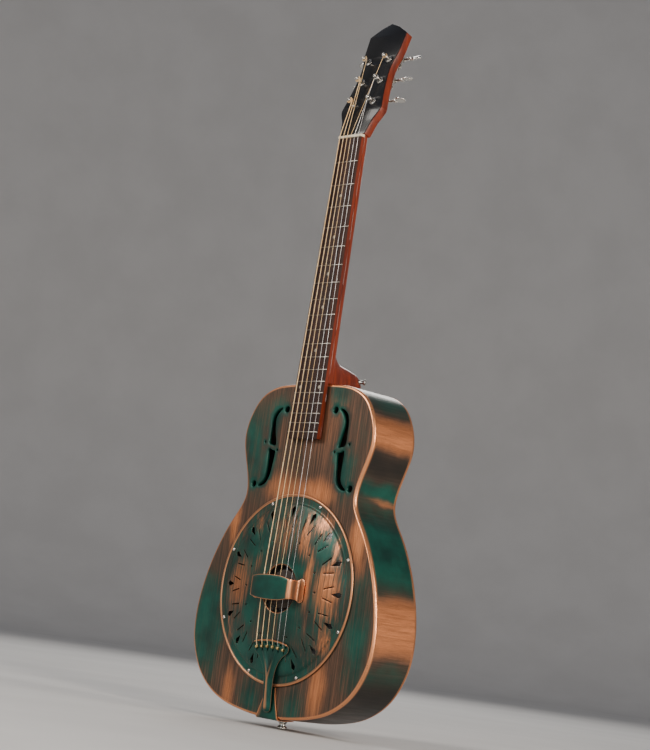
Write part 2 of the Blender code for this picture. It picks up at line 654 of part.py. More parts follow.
def build_neck(parts, cutters, looks):
    shaft = loft([neck_section(z * MM, board_half(z * MM) - GAP, depth * MM) for z, depth in SHAFT])
    finish(shaft, "neck", looks["mahogany"], parts)
    heel = loft([heel_section(y, half, peak) for y, half, peak in mm(HEEL)])
    boolean(shaft, finish(heel, "heel", None, cutters), "UNION")
    rings = []
    for z in (TONGUE_TOP_Z, TONGUE_LOW_Z):
        half = board_half(z) - 1 * MM
        top = board_y(z) + BOARD_TO_NECK
        rings.append([(-half, top, z), (half, top, z), (half, FRONT_Y - GAP, z), (-half, FRONT_Y - GAP, z)])
    boolean(shaft, finish(loft(rings), "tongue", None, cutters), "UNION")
    wood = HEAD_THICK - VENEER - GAP
    head = flat([head_outline()], wood)
    place = head_matrix() @ Matrix.Translation((0, HEAD_THICK - wood / 2, 0)) @ STANDING
    boolean(shaft, finish(head, "headstock", None, cutters, place), "UNION")
    backwards = Matrix.Rotation(-pi / 2, 4, "X")
    for index, side, x, up in post_places():
        hole = rod(POST_HOLE_R, -OVER, 2 * OVER, 10)
        place = head_matrix() @ Matrix.Translation((x, 0, up)) @ backwards
        boolean(shaft, finish(hole, f"post_hole_{index}", None, cutters, place))
    rings = [[(x, board_y(z) + BOARD_TO_NECK + y, z) for x, y in mm(ROD_GROOVE)] for z in ROD_GROOVE_Z]
    boolean(shaft, finish(loft(rings), "rod_groove", None, cutters))
    button_place = Matrix.Translation(BUTTON_BASE) @ BUTTON_AIM.to_track_quat("Z", "Y").to_matrix().to_4x4()
    seat = rod(BUTTON_SEAT_R, 0, OVER)
    boolean(shaft, finish(seat, "button_seat", None, cutters, button_place))
    bore = rod(BUTTON_BORE_R, BUTTON_BORE_END, OVER, 8)
    boolean(shaft, finish(bore, "button_bore", None, cutters, button_place))

    middle = sum(ROD_GROOVE_Z) / 2
    length = ROD_GROOVE_Z[1] - ROD_GROOVE_Z[0] - 2 * MM
    truss = rod(ROD_R, -length / 2, length / 2, 8)
    lean = Matrix.Rotation(-NECK_TILT, 4, "X")
    place = Matrix.Translation((0, board_y(middle) + BOARD_TO_NECK + ROD_DEPTH, middle)) @ lean
    finish(truss, "truss_rod", looks["steel"], parts, place)

    finish(turned(mm(BUTTON_PROFILE), 12), "heel_button", looks["nickel"], parts, button_place)

    holes = [circle(x, up, POST_HOLE_R, 10) for index, side, x, up in post_places()]
    veneer = flat([head_outline()] + holes, VENEER)
    finish(veneer, "headstock_veneer", looks["black"], parts,
           head_matrix() @ Matrix.Translation((0, VENEER / 2, 0)) @ STANDING)


def build_board(parts, cutters, looks):
    low = -(NUT_Z - BOARD_LOW_Z) / cos(NECK_TILT)
    half_low = board_half(BOARD_LOW_Z)
    board = flat([[(-half_low, low), (half_low, low), (NUT_HALF, 0), (-NUT_HALF, 0)]], BOARD_THICK)
    frame = Matrix.Translation((0, NUT_SURFACE_Y, NUT_Z)) @ Matrix.Rotation(-NECK_TILT, 4, "X")
    place = frame @ Matrix.Translation((0, BOARD_THICK / 2, 0)) @ STANDING
    finish(board, "fretboard", looks["rosewood"], parts, place)
    section = mm(FRET_SECTION)
    bm = bmesh.new()
    for number in range(1, FRETS + 1):
        down = -SCALE * (1 - 2 ** (-number / 12))
        half = board_half(NUT_Z + down) - 0.2 * MM
        ends = [[bm.verts.new((side * half, y, down + z)) for z, y in section] for side in (-1, 1)]
        for i in range(len(section)):
            j = (i + 1) % len(section)
            bm.faces.new((ends[0][i], ends[0][j], ends[1][j], ends[1][i]))
        bm.faces.new(ends[0])
        bm.faces.new(ends[1])
    boolean(board, finish(from_bmesh(bm), "frets", None, cutters, frame), "UNION")

    nut = box((-NUT_HALF, NUT_SURFACE_Y - NUT_TOP, NUT_Z + GAP),
              (NUT_HALF, NUT_SURFACE_Y + BOARD_THICK, NUT_Z + GAP + NUT_THICK))
    finish(nut, "nut", looks["bone"], parts)


# --- tuners -------------------------------------------------------------------------------------

def gear_outline():
    outline = []
    for tooth in range(TEETH):
        # a gap, not a tooth, faces the worm on the +Z side
        middle = pi / 2 + (tooth + 0.5) * 2 * pi / TEETH
        for radius, half in ((GEAR_R - 1 * MM, -0.85 * MM), (GEAR_R + 0.8 * MM, -0.3 * MM),
                             (GEAR_R + 0.8 * MM, 0.3 * MM), (GEAR_R - 1 * MM, 0.85 * MM)):
            angle = middle + half / radius
            outline.append((radius * cos(angle), radius * sin(angle)))
    return outline


def worm_thread():
    """Right-handed thread along +Z whose crest passes -Y at z = 0."""
    total = int(WORM_TURNS * WORM_STEPS)
    sections = []
    for k in range(total + 1):
        turn = 2 * pi * (k - total / 2) / WORM_STEPS
        z = WORM_LEAD * turn / (2 * pi)
        angle = turn - pi / 2
        sections.append([(r * cos(angle), r * sin(angle), z + dz) for r, dz in mm(THREAD_SECTION)])
    return loft(sections)


def shaft_turn(side):
    """Turns +Z outwards along X and -Y towards the gear, which is below the shaft."""
    return Matrix(((0, 0, side, 0), (side, 0, 0, 0), (0, 1, 0, 0), (0, 0, 0, 1)))


def build_plate(index, head, outwards, worm_place, parts, cutters, looks):
    """Plate on the back of the headstock with two ears that hold the worm's shaft."""
    plate = box((-PLATE_HALF, PLATE_Y, PLATE_LOW), (PLATE_HALF, PLATE_Y + PLATE_THICK, WORM_OFFSET + 6 * MM))
    finish(plate, f"tuner_plate_{index}", looks["nickel"], parts, head)
    for letter, low in (("a", -EAR_X - EAR_THICK), ("b", EAR_X)):
        ear = box((low, PLATE_Y + PLATE_THICK / 2, WORM_OFFSET - EAR_HALF),
                  (low + EAR_THICK, WORM_Y + EAR_HALF, WORM_OFFSET + EAR_HALF))
        boolean(plate, finish(ear, f"tuner_ear_{index}_{letter}", None, cutters, head), "UNION")
    bore = rod(SHAFT_R + GAP, -OVER, OVER, 8)
    boolean(plate, finish(bore, f"ear_bore_{index}", None, cutters, worm_place))
    bore = rod(POST_R + 0.5 * MM, -OVER, 2 * OVER, 8)
    boolean(plate, finish(bore, f"plate_bore_{index}", None, cutters, outwards))


def build_post(index, head, outwards, parts, cutters, looks):
    """String post with its gear, and the ferrule that it turns in."""
    post = turned([(0, POST_END), (POST_R, POST_END), (POST_R, 0.6 * MM - POST_TOP), (POST_TIP_R, -POST_TOP),
                   (0, -POST_TOP)], 10)
    finish(post, f"tuner_post_{index}", looks["nickel"], parts, outwards)
    gear = flat([gear_outline()], GEAR_THICK)
    gear_place = head @ Matrix.Translation((0, WORM_Y, 0)) @ STANDING
    boolean(post, finish(gear, f"gear_{index}", None, cutters, gear_place), "UNION")
    hole = rod(STRING_HOLE_R, -OVER, OVER, 4)
    hole_place = head @ Matrix.Translation((0, -STRING_HOLE_RISE, 0)) @ Matrix.Rotation(pi / 2, 4, "Y")
    boolean(post, finish(hole, f"string_hole_{index}", None, cutters, hole_place))
    finish(turned(mm(FERRULE), 12), f"tuner_ferrule_{index}", looks["nickel"], parts, head @ STANDING)


def build_button(index, worm_place, parts, cutters, looks):
    """Shaft with its worm and its flattened button."""
    shaft = turned(mm(SHAFT_PROFILE), 10)
    finish(shaft, f"tuner_button_{index}", looks["nickel"], parts, worm_place)
    boolean(shaft, finish(worm_thread(), f"worm_{index}", None, cutters, worm_place), "UNION")
    bm = bmesh.new()
    bmesh.ops.create_uvsphere(bm, u_segments=12, v_segments=6, radius=1)
    turn = Matrix.Rotation(radians(BEAN_TURNS[index - 1]), 4, "Z")
    shape = Matrix.Translation((0, 0, BEAN_CENTRE)) @ turn @ Matrix.Diagonal((*BEAN, 1))
    bmesh.ops.transform(bm, matrix=shape, verts=bm.verts)
    boolean(shaft, finish(from_bmesh(bm), f"bean_{index}", None, cutters, worm_place), "UNION")


def build_tuners(parts, cutters, looks):
    for index, side, x, up in post_places():
        head = head_matrix() @ Matrix.Translation((x, 0, up))
        outwards = head @ Matrix.Rotation(-pi / 2, 4, "X")            # +Z to the back of the headstock
        worm_place = head @ Matrix.Translation((0, WORM_Y, WORM_OFFSET)) @ shaft_turn(side)
        build_plate(index, head, outwards, worm_place, parts, cutters, looks)
        build_post(index, head, outwards, parts, cutters, looks)
        build_button(index, worm_place, parts, cutters, looks)


# --- strings ------------------------------------------------------------------------------------

def saddle_drop(x):
    """How much lower the saddle's top is at distance x from its middle."""
    return SADDLE_CROWN * (x / SADDLE_HALF) ** 2


def string_points(index, diameter):
    """Tail end, saddle, nut, then the winding on the post."""
    radius = diameter / 2
    clear = GAP + radius
    tail = tail_matrix()
    x_tail = spread(TAIL_SPREAD, index)
    x_saddle = spread(SADDLE_SPREAD, index)
    x_nut = spread(NUT_SPREAD, index)
    points = [tail @ Vector((x_tail, -clear, -10.5 * MM)), tail @ Vector((x_tail, -clear, 1.5 * MM))]
    over_saddle = height(SADDLE_TOP - saddle_drop(x_saddle) + clear)
    for z in (-SADDLE_THICK / 2, SADDLE_THICK / 2):
        points.append(Vector((x_saddle, over_saddle, SADDLE_Z + z)))
    nut_y = NUT_SURFACE_Y - NUT_TOP - clear
    points.append(Vector((x_nut, nut_y, NUT_Z + 0.5 * MM)))
    points.append(Vector((x_nut, nut_y, NUT_Z + NUT_THICK)))
    head = head_matrix()
    _, side, x, up = list(post_places())[index]
    wrap = (POST_R + 0.2 * MM) / cos(pi / WIND_STEPS) + radius
    from_nut = head.inverted() @ points[-1] - Vector((x, 0, up))
    reach = hypot(from_nut.x, from_nut.z)
    start = atan2(from_nut.z, from_nut.x) - side * acos(wrap / reach)
    for k in range(WIND_TURNS * WIND_STEPS + 1):
        turn = k / WIND_STEPS
        angle = start - side * 2 * pi * turn
        rise = WIND_LOW + diameter * 1.12 * turn
        points.append(head @ Vector((x + wrap * cos(angle), -rise, up + wrap * sin(angle))))
    return points


def build_strings(parts, looks):
    for index, diameter in enumerate(STRING_DIAMETERS):
        string = tube(string_points(index, diameter), diameter / 2)
        finish(string, f"string_{index + 1}", looks["bronze" if index < 4 else "steel"], parts)


def main():
    wipe()
    parts = group("resonator_guitar")
    cutters = group("cutters")
    looks = {
        "body": material("body_metal", (0.33, 0.24, 0.17), 0.38, 1.0),
        "inner_metal": material("well_metal", (0.45, 0.40, 0.33), 0.5, 1.0),
        "aluminium": material("cone_aluminium", (0.80, 0.80, 0.80), 0.35, 1.0),
        "nickel": material("nickel", (0.66, 0.64, 0.60), 0.25, 1.0),
        "mahogany": material("mahogany", (0.26, 0.07, 0.035), 0.35),
        "maple": material("maple", (0.65, 0.48, 0.30), 0.5),
        "ebony": material("ebony", (0.02, 0.017, 0.015), 0.45),
        "rosewood": material("rosewood", (0.05, 0.025, 0.018), 0.5),
        "black": material("black_lacquer", (0.012, 0.012, 0.013), 0.15),
        "bone": material("bone", (0.80, 0.74, 0.60), 0.4),
        "bronze": material("wound_bronze", (0.60, 0.38, 0.18), 0.35, 1.0),
        "steel": material("steel", (0.70, 0.70, 0.70), 0.3, 1.0),
    }
    build_body(parts, cutters, looks)
    build_inside(parts, cutters, looks)
    build_cover(parts, cutters, looks)
    build_tail(parts, cutters, looks)
    build_neck(parts, cutters, looks)
    build_board(parts, cutters, looks)
    build_tuners(parts, cutters, looks)
    build_strings(parts, looks)
    for piece in PIECES.values():
        piece.data.shade_smooth()
        piece.data.set_sharp_from_angle(angle=radians(35))


main()
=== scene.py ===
"""Looks of a metal-bodied resonator guitar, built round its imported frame.

Metres, +Z up along the neck, the front towards -Y and the treble side at +X.
Every piece is made in place, so an object's own coordinates are the frame's.
"""

from math import acos, atan2, cos, hypot, pi, radians, sin, tan

import bmesh
import bpy
from mathutils import Matrix, Vector
from mathutils.geometry import delaunay_2d_cdt


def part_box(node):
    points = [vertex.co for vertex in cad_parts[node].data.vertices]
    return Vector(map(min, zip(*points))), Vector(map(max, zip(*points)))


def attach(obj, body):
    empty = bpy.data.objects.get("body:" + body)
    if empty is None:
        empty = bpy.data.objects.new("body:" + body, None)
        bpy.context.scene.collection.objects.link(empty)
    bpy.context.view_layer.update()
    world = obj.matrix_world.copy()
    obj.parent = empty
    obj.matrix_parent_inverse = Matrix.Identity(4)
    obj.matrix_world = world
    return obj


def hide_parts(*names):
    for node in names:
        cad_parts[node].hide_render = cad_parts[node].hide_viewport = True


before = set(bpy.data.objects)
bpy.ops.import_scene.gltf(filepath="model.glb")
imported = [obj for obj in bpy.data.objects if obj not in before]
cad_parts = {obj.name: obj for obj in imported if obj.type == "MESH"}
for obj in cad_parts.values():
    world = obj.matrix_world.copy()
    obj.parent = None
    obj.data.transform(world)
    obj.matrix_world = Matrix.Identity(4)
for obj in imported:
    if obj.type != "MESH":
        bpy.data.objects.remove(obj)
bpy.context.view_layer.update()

MM = 0.001
GAP = 0.3 * MM

# Places read from the frame
TOP_LOW, TOP_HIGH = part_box("body_top")
COVER_LOW, COVER_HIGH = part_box("coverplate")
FRONT_Y = TOP_LOW.y
BACK_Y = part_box("body_back")[1].y
CENTRE_Z = (COVER_LOW.z + COVER_HIGH.z) / 2
BODY_LOW_Z = TOP_LOW.z
HEEL_Z = TOP_HIGH.z + 0.5 * MM
BOARD_LOW_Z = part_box("fretboard")[0].z
NUT_LOW, NUT_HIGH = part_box("nut")
NUT_Z = NUT_LOW.z - GAP
NUT_TOP = 2 * MM
NUT_SURFACE_Y = NUT_LOW.y + NUT_TOP
SADDLE_LOW, SADDLE_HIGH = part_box("saddle")
SADDLE_Z = (SADDLE_LOW.z + SADDLE_HIGH.z) / 2

# Body
SHEET = 1.2 * MM
EDGE_R = 3.2 * MM
BODY_STEPS = 360
HALF_BODY = [(0, 285.7), (45, 285.5), (80, 281), (108, 265.5), (125.5, 237), (131, 208), (124, 181),
             (113.5, 152), (110, 128), (118, 109.5), (140.5, 77.5), (161.5, 36), (175.5, -8), (181, -50),
             (175.5, -90), (152, -130), (112, -157), (60, -170), (0, -174.5)]
UPPER_CRESCENT = [(57.5, 252), (66, 250), (73.5, 244), (77, 234), (77.5, 222), (76.5, 202), (70, 200),
                  (63, 199.5), (68.5, 222), (69.5, 236), (64.5, 246)]
LOWER_CRESCENT = [(76, 194), (68.5, 191), (62.5, 190), (64.5, 172), (66.5, 158), (72, 147), (80, 141.5),
                  (89, 140.5), (82, 145.5), (77, 152), (75.5, 163), (76, 178)]
ROUND_HOLES = [(49, 250, 4.2), (97, 143, 4.2), (85, 203, 1.6), (58, 192, 1.6)]
WELL_R = 121.2 * MM
TOP_GRID = 6                         # mm between the points that even out the top plate's faces
OVER_CUT = 5 * MM

# Spun cone, in mm from its axis and from the top plate
CONE_CENTRE = [(2.4, -2.5), (12.5, -2.5), (14.5, -2.7), (16.5, -3.3)]
CONE_RIM = [(114, -29.6), (116, -31.0), (118, -31.3), (120.3, -31.3)]
CONE_SLOPE_END = 112
CONE_FALL = 25.2
CONE_RIDGE = 0.22
CONE_THICK = 0.5 * MM

# Coverplate and hand rest
COVER_THICK = 0.8 * MM
REST_THICK = 1.3 * MM

# Neck
NECK_TILT = radians(1.38)
SCALE = 635 * MM
FRETS = 19
BOARD_THICK = 6 * MM
BOARD_TO_NECK = BOARD_THICK + GAP
NUT_HALF = 23 * MM
TWELFTH_HALF = 28.5 * MM
SHAFT = [(838, 11), (828, 14.6), (780, 15), (700, 15.6), (620, 16.4), (560, 17), (530, 17.5), (474.2, 17.5)]
HEEL = [(-24, 27, 540), (-16, 26, 529), (-10, 25, 520), (-4, 24, 513.5), (2, 23, 510), (10, 22, 508),
        (20, 21, 506), (30, 20, 504), (38, 19, 501.5), (42, 18, 498.5), (44.5, 16, 493)]
BUTTON_BASE = Vector((16.5, 38, 490)) * MM
BUTTON_AIM = Vector((0.8, 0.6, 0))
DOT_FRETS = (3, 5, 7, 9, 12, 15)
FRET_HALF = 0.85 * MM
FRET_HIGH = 1.1 * MM
EDGE_STAIN = 0.14 * MM
PAIRED_DOTS = 15
DOT_APART = 19 * MM

# Headstock and tuners
HEAD_Y = -28 * MM
HEAD_Z = 833 * MM
HEAD_TILT = radians(15)
HEAD_THICK = 14 * MM
VENEER = 1.5 * MM
HALF_HEAD = [(24.3, 0.6), (26.8, 11), (30, 23), (35, 32), (39.2, 42), (37, 53), (34, 66), (31.2, 81),
             (28.7, 99), (29.3, 116), (32.7, 129), (34.6, 142), (36, 167.5)]
HEAD_PEAK = [(18, 179), (0, 186.5)]
POSTS = [(18.7, 53.5), (18, 88.5), (20.3, 123.5)]
POST_R = 3 * MM
POST_TOP = 13.5 * MM
POST_END = 22.5 * MM
POST_HOLE_R = 5 * MM
GEAR_TEETH = 15
GEAR_MODULE = 0.93 * MM
GEAR_R = GEAR_TEETH * GEAR_MODULE / 2
GEAR_THICK = 2.4 * MM
WORM_R = 3.3 * MM
WORM_LEAD = pi * GEAR_MODULE
WORM_TURNS = 2.5
WORM_OFFSET = GEAR_R + WORM_R + 0.1 * MM
WORM_Y = 20.3 * MM
EAR_X = 6 * MM
EAR_THICK = 1.3 * MM
PLATE_Y = HEAD_THICK + GAP
PLATE_THICK = 1.2 * MM
PLATE_SCREW = [(0, 1.0), (1.7, 0.25), (1.7, 0.02), (0.8, 0.02), (0.8, -4), (0, -4)]
FERRULE = [(3.5, -7), (3.5, 1.5), (4.3, 1.5), (5.6, 0.7), (5.6, 0.3), (4.6, 0.3), (4.6, -7)]
SHAFT_PROFILE = [(0, 26.5), (2.2, 26), (3.4, 24.6), (3.7, 23), (3.4, 21.4), (2.5, 20.3), (2, 19), (2, 5.6),
                 (2.6, 5.6), (2.6, -5.6), (2, -5.6), (2, -8.6), (0, -8.6)]
BEAN = (7, 2.9, 8.5)
BEAN_CENTRE = 32
BEAN_TURNS = (20, -35, 10, 50, 15, 0)

# Strings and tailpiece
STRING_DIAMETERS = (1.35 * MM, 1.07 * MM, 0.81 * MM, 0.61 * MM, 0.43 * MM, 0.33 * MM)
STRINGS = len(STRING_DIAMETERS)
WOUND = 4
NUT_SPREAD = 18.5 * MM
SADDLE_SPREAD = 28 * MM
SADDLE_HALF = 30 * MM
SADDLE_CROWN = 0.9 * MM
TAIL_SPREAD = 26.6 * MM
WIND_LOW = 8.4 * MM
WIND_TURNS = 2
WIND_STEPS = 24
TAIL_Z = CENTRE_Z - 72 * MM
TAIL_HEIGHT = 13 * MM
TAIL_TILT = radians(5.4)
TAIL_THICK = 1.2 * MM
STRAP_THICK = 1.1 * MM
STRAP_BEND_R = 2.2 * MM
PIN_HOLE_R = 4 * MM
TAIL_GRID = 1.3 * MM                 # between the points that carry the tailpiece's relief
HALF_TAIL = [(0, 2.4), (13, 1.8), (25, 0.2), (33, -2.4), (36, -8.5), (33, -14), (26, -18.5), (19.3, -25),
             (14, -34), (10.8, -44), (9.3, -54), (8.4, -70), (8.2, -88), (6, -93.5), (0, -95.5)]

STANDING = Matrix.Rotation(pi / 2, 4, "X")       # drawing plane to the XZ plane
BACKWARDS = Matrix.Rotation(-pi / 2, 4, "X")     # +Z to the back
LOOKS = {}


# --- shapes -------------------------------------------------------------------------------------

def mm(points):
    return [tuple(value * MM for value in point) for point in points]


def smooth_line(points, count, closed=False):
    """Catmull-Rom curve through the points, as `count` points evenly spaced along it."""
    points = [Vector(p) for p in points]
    size = len(points)
    fine = []
    for i in range(size if closed else size - 1):
        if closed:
            a, b, c, d = (points[(i + k) % size] for k in (-1, 0, 1, 2))
        else:
            a, b, c, d = (points[min(max(i + k, 0), size - 1)] for k in (-1, 0, 1, 2))
        for step in range(24):
            t = step / 24
            fine.append(0.5 * (2 * b + (c - a) * t + (2 * a - 5 * b + 4 * c - d) * t * t
                               + (3 * b - a - 3 * c + d) * t ** 3))
    fine.append(points[0] if closed else points[-1])
    lengths = [0.0]
    for p, q in zip(fine, fine[1:]):
        lengths.append(lengths[-1] + (q - p).length)
    result = []
    i = 0
    for k in range(count):
        goal = lengths[-1] * k / (count if closed else count - 1)
        while i < len(fine) - 2 and lengths[i + 1] < goal:
            i += 1
        span = lengths[i + 1] - lengths[i]
        result.append(fine[i].lerp(fine[i + 1], (goal - lengths[i]) / span if span else 0))
    return result


def evened(loop, rounds):
    """The closed loop with its curvature evened out."""
    for _ in range(rounds):
        loop = [(loop[i - 1] + 2 * p + loop[(i + 1) % len(loop)]) / 4 for i, p in enumerate(loop)]
    return loop


def mirrored(half):
    """Closed outline from its half, whose first and last points may lie on the middle line."""
    return half + [(-x, z) for x, z in reversed(half) if x > 0]


def raised(points, rise):
    return [(x, z + rise) for x, z in points]


def circle(x, z, radius, sides):
    angles = [2 * pi * k / sides for k in range(sides)]
    return [(x + radius * cos(angle), z + radius * sin(angle)) for angle in angles]


def corner_arc(before, corner, after, steps):
    """Points of the short curve that takes a corner's place."""
    shares = [k / steps for k in range(steps + 1)]
    return [before * (1 - t) ** 2 + corner * 2 * t * (1 - t) + after * t * t for t in shares]


def rounded(corners, radius, steps=3):
    """Outline whose corners are replaced by short arcs that start `radius` before each corner."""
    result = []
    for i, corner in enumerate(corners):
        corner = Vector(corner)
        before = corner + (Vector(corners[i - 1]) - corner).normalized() * radius
        after = corner + (Vector(corners[(i + 1) % len(corners)]) - corner).normalized() * radius
        result += corner_arc(before, corner, after, steps)
    return result


def outward(loop, distance):
    """The closed loop moved outwards, whichever way round its points run."""
    size = len(loop)
    turn = sum(loop[i - 1][0] * loop[i][1] - loop[i][0] * loop[i - 1][1] for i in range(size))
    reach = distance if turn > 0 else -distance
    moved = []
    for i in range(size):
        along = (Vector(loop[(i + 1) % size]) - Vector(loop[i - 1])).normalized()
        moved.append((loop[i][0] + along.y * reach, loop[i][1] - along.x * reach))
    return moved


def inside(x, z, loop):
    odd = False
    for i in range(len(loop)):
        (ax, az), (bx, bz) = loop[i - 1][:2], loop[i][:2]
        if (az > z) != (bz > z) and x < ax + (bx - ax) * (z - az) / (bz - az):
            odd = not odd
    return odd


def outside_all(spots, field, loops):
    """The spots that are inside the field and outside every one of the loops."""
    return [spot for spot in spots if inside(*spot, field) and not any(inside(*spot, loop) for loop in loops)]


def height(h):
    """World Y of a point `h` in front of the top plate."""
    return FRONT_Y - h


def facing_front(x, z):
    """Places a piece turned about its Z axis so that +Z points out of the guitar's front."""
    return Matrix.Translation((x, FRONT_Y, z)) @ STANDING


def laid(matrix, depth):
    """Places a flat piece upright, with its middle `depth` behind the matrix's own front."""
    return matrix @ Matrix.Translation((0, depth, 0)) @ STANDING


def board_y(z):
    return NUT_SURFACE_Y - (NUT_Z - z) * tan(NECK_TILT)


def board_half(z):
    return NUT_HALF + (TWELFTH_HALF - NUT_HALF) * (NUT_Z - z) / (SCALE / 2)


def spread(half, index):
    return half * (index / 2.5 - 1)


# --- mesh work ----------------------------------------------------------------------------------

def made(bm, matrix=None, tidy=True):
    """Object of the mesh being built, in place and with its faces pointing outwards."""
    if tidy:
        bmesh.ops.recalc_face_normals(bm, faces=bm.faces)
    mesh = bpy.data.meshes.new("mesh")
    bm.to_mesh(mesh)
    bm.free()
    if matrix is not None:
        mesh.transform(matrix)
    obj = bpy.data.objects.new("piece", mesh)
    bpy.context.scene.collection.objects.link(obj)
    return obj


def applied(obj):
    """The object with its modifiers made into its mesh."""
    bpy.context.view_layer.update()
    mesh = bpy.data.meshes.new_from_object(obj.evaluated_get(bpy.context.evaluated_depsgraph_get()))
    obj.modifiers.clear()
    obj.data = mesh
    return obj


def combined(target, other, operation="DIFFERENCE"):
    change = target.modifiers.new("Change", "BOOLEAN")
    change.operation = operation
    change.solver = "EXACT"
    change.object = other
    applied(target)
    bpy.data.objects.remove(other)
    return target


def thickened(obj, thickness, offset=-1):
    shell = obj.modifiers.new("Sheet", "SOLIDIFY")
    shell.thickness = thickness
    shell.offset = offset
    shell.use_even_offset = True
    return applied(obj)


def bevelled(obj, width, segments=2, angle=35):
    bevel = obj.modifiers.new("Bevel", "BEVEL")
    bevel.width = width
    bevel.segments = segments
    bevel.limit_method = "ANGLE"
    bevel.angle_limit = radians(angle)
    return applied(obj)


def bridge(bm, a, b):
    size = len(a)
    return [bm.faces.new((a[i], a[(i + 1) % size], b[(i + 1) % size], b[i])) for i in range(size)]


def bridge_all(bm, rings, capped=True):
    for a, b in zip(rings, rings[1:]):
        bridge(bm, a, b)
    if capped:
        bm.faces.new(rings[0])
        bm.faces.new(rings[-1])


def woven(bm, rows):
    """Faces between rows of vertices, as an open sheet."""
    for a, b in zip(rows, rows[1:]):
        for i in range(len(a) - 1):
            bm.faces.new((a[i], a[i + 1], b[i + 1], b[i]))


def worn_ring(bm, wear, points, amount):
    """New vertices at the points, all worn by the same amount."""
    ring = [bm.verts.new(point) for point in points]
    for vert in ring:
        vert[wear] = amount
    return ring


def prism(outlines, thickness, matrix=None):
    """Flat solid of one or more outlines, those inside another being holes, centred on its plane."""
    data = bpy.data.curves.new("outline", "CURVE")
    data.dimensions = "2D"
    data.fill_mode = "BOTH"
    data.extrude = thickness / 2
    for outline in outlines:
        spline = data.splines.new("POLY")
        spline.points.add(len(outline) - 1)
        for point, (x, z) in zip(spline.points, outline):
            point.co = (x, z, 0, 1)
        spline.use_cyclic_u = True
    return from_curve(data, matrix)


def from_curve(data, matrix=None):
    curve = bpy.data.objects.new("curve", data)
    bpy.context.scene.collection.objects.link(curve)
    mesh = bpy.data.meshes.new_from_object(curve.evaluated_get(bpy.context.evaluated_depsgraph_get()))
    bpy.data.objects.remove(curve)
    bm = bmesh.new()
    bm.from_mesh(mesh)
    bmesh.ops.remove_doubles(bm, verts=bm.verts, dist=1e-6)
    return made(bm, matrix)


def tube(points, radius, sides=12):
    """Round bar along the points with flat ends; the layer `along` holds the distance from its start."""
    bm = bmesh.new()
    along = bm.verts.layers.float.new("along")
    rings = []
    points = [Vector(p) for p in points]
    normal = (points[1] - points[0]).orthogonal().normalized()
    travelled = 0.0
    for i, point in enumerate(points):
        ahead = (points[min(i + 1, len(points) - 1)] - points[max(i - 1, 0)]).normalized()
        normal = (normal - ahead * normal.dot(ahead)).normalized()
        side = ahead.cross(normal)
        travelled += (point - points[i - 1]).length if i else 0
        ring = []
        for k in range(sides):
            angle = 2 * pi * k / sides
            vert = bm.verts.new(point + (normal * cos(angle) + side * sin(angle)) * radius)
            vert[along] = travelled
            ring.append(vert)
        rings.append(ring)
    bridge_all(bm, rings)
    return made(bm)


def box(low, high, matrix=None):
    bm = bmesh.new()
    bmesh.ops.create_cube(bm, size=1)
    size = Vector(high) - Vector(low)
    middle = (Vector(high) + Vector(low)) / 2
    bmesh.ops.transform(bm, matrix=Matrix.Translation(middle) @ Matrix.Diagonal((*size, 1)), verts=bm.verts)
    return made(bm, matrix)


def turned(profile, steps=48, matrix=None, closed=True):
    """Profile of (radius, height) points turned about Z, as a closed solid or as an open surface."""
    bm = bmesh.new()
    rings = []
    for radius, level in profile:
        if radius < 1e-7:
            rings.append([bm.verts.new((0, 0, level))])
        else:
            rings.append([bm.verts.new((x, y, level)) for x, y in circle(0, 0, radius, steps)])
    pairs = list(zip(rings, rings[1:]))
    if closed and len(rings[0]) > 1:
        pairs.append((rings[-1], rings[0]))
    for a, b in pairs:
        for k in range(steps):
            corners = [a[k % len(a)], a[(k + 1) % len(a)], b[(k + 1) % len(b)], b[k % len(b)]]
            face = list(dict.fromkeys(corners))
            if len(face) > 2:
                bm.faces.new(face)
    return made(bm, matrix)


def rod(radius, top, bottom, steps, matrix=None):
    return turned([(0, top), (radius, top), (radius, bottom), (0, bottom)], steps, matrix)


def softened(profile, radius, steps=3):
    """Open profile whose inner corners are rounded."""
    result = [Vector(profile[0])]
    for before, corner, after in zip(profile, profile[1:], profile[2:]):
        corner, before, after = Vector(corner), Vector(before), Vector(after)
        reach = min(radius, (before - corner).length * 0.45, (after - corner).length * 0.45)
        first = corner + (before - corner).normalized() * reach
        last = corner + (after - corner).normalized() * reach
        result += corner_arc(first, corner, last, steps)
    result.append(Vector(profile[-1]))
    return [tuple(p) for p in result]


def loft(sections, matrix=None):
    """Closed solid through rings of points, each ring with the same number of points."""
    bm = bmesh.new()
    bridge_all(bm, [[bm.verts.new(p) for p in section] for section in sections])
    return made(bm, matrix)


def joined(objects):
    """One object of several, kept as separate bodies."""
    bm = bmesh.new()
    for obj in objects:
        bm.from_mesh(obj.data)
        bpy.data.objects.remove(obj)
    return made(bm, tidy=False)


def show(obj, name, look, slot, *nodes, body="guitar", sharp=40):
    """Names the piece, gives it its material and body, and hides the CAD nodes it stands for."""
    obj.name = name
    obj.data.name = name
    obj.data.materials.clear()
    obj.data.materials.append(LOOKS[look])
    obj.data.shade_smooth()
    obj.data.set_sharp_from_angle(angle=radians(sharp))
    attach(obj, body)
    if nodes:
        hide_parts(*nodes)
    return obj


# --- pierced sheets -----------------------------------------------------------------------------

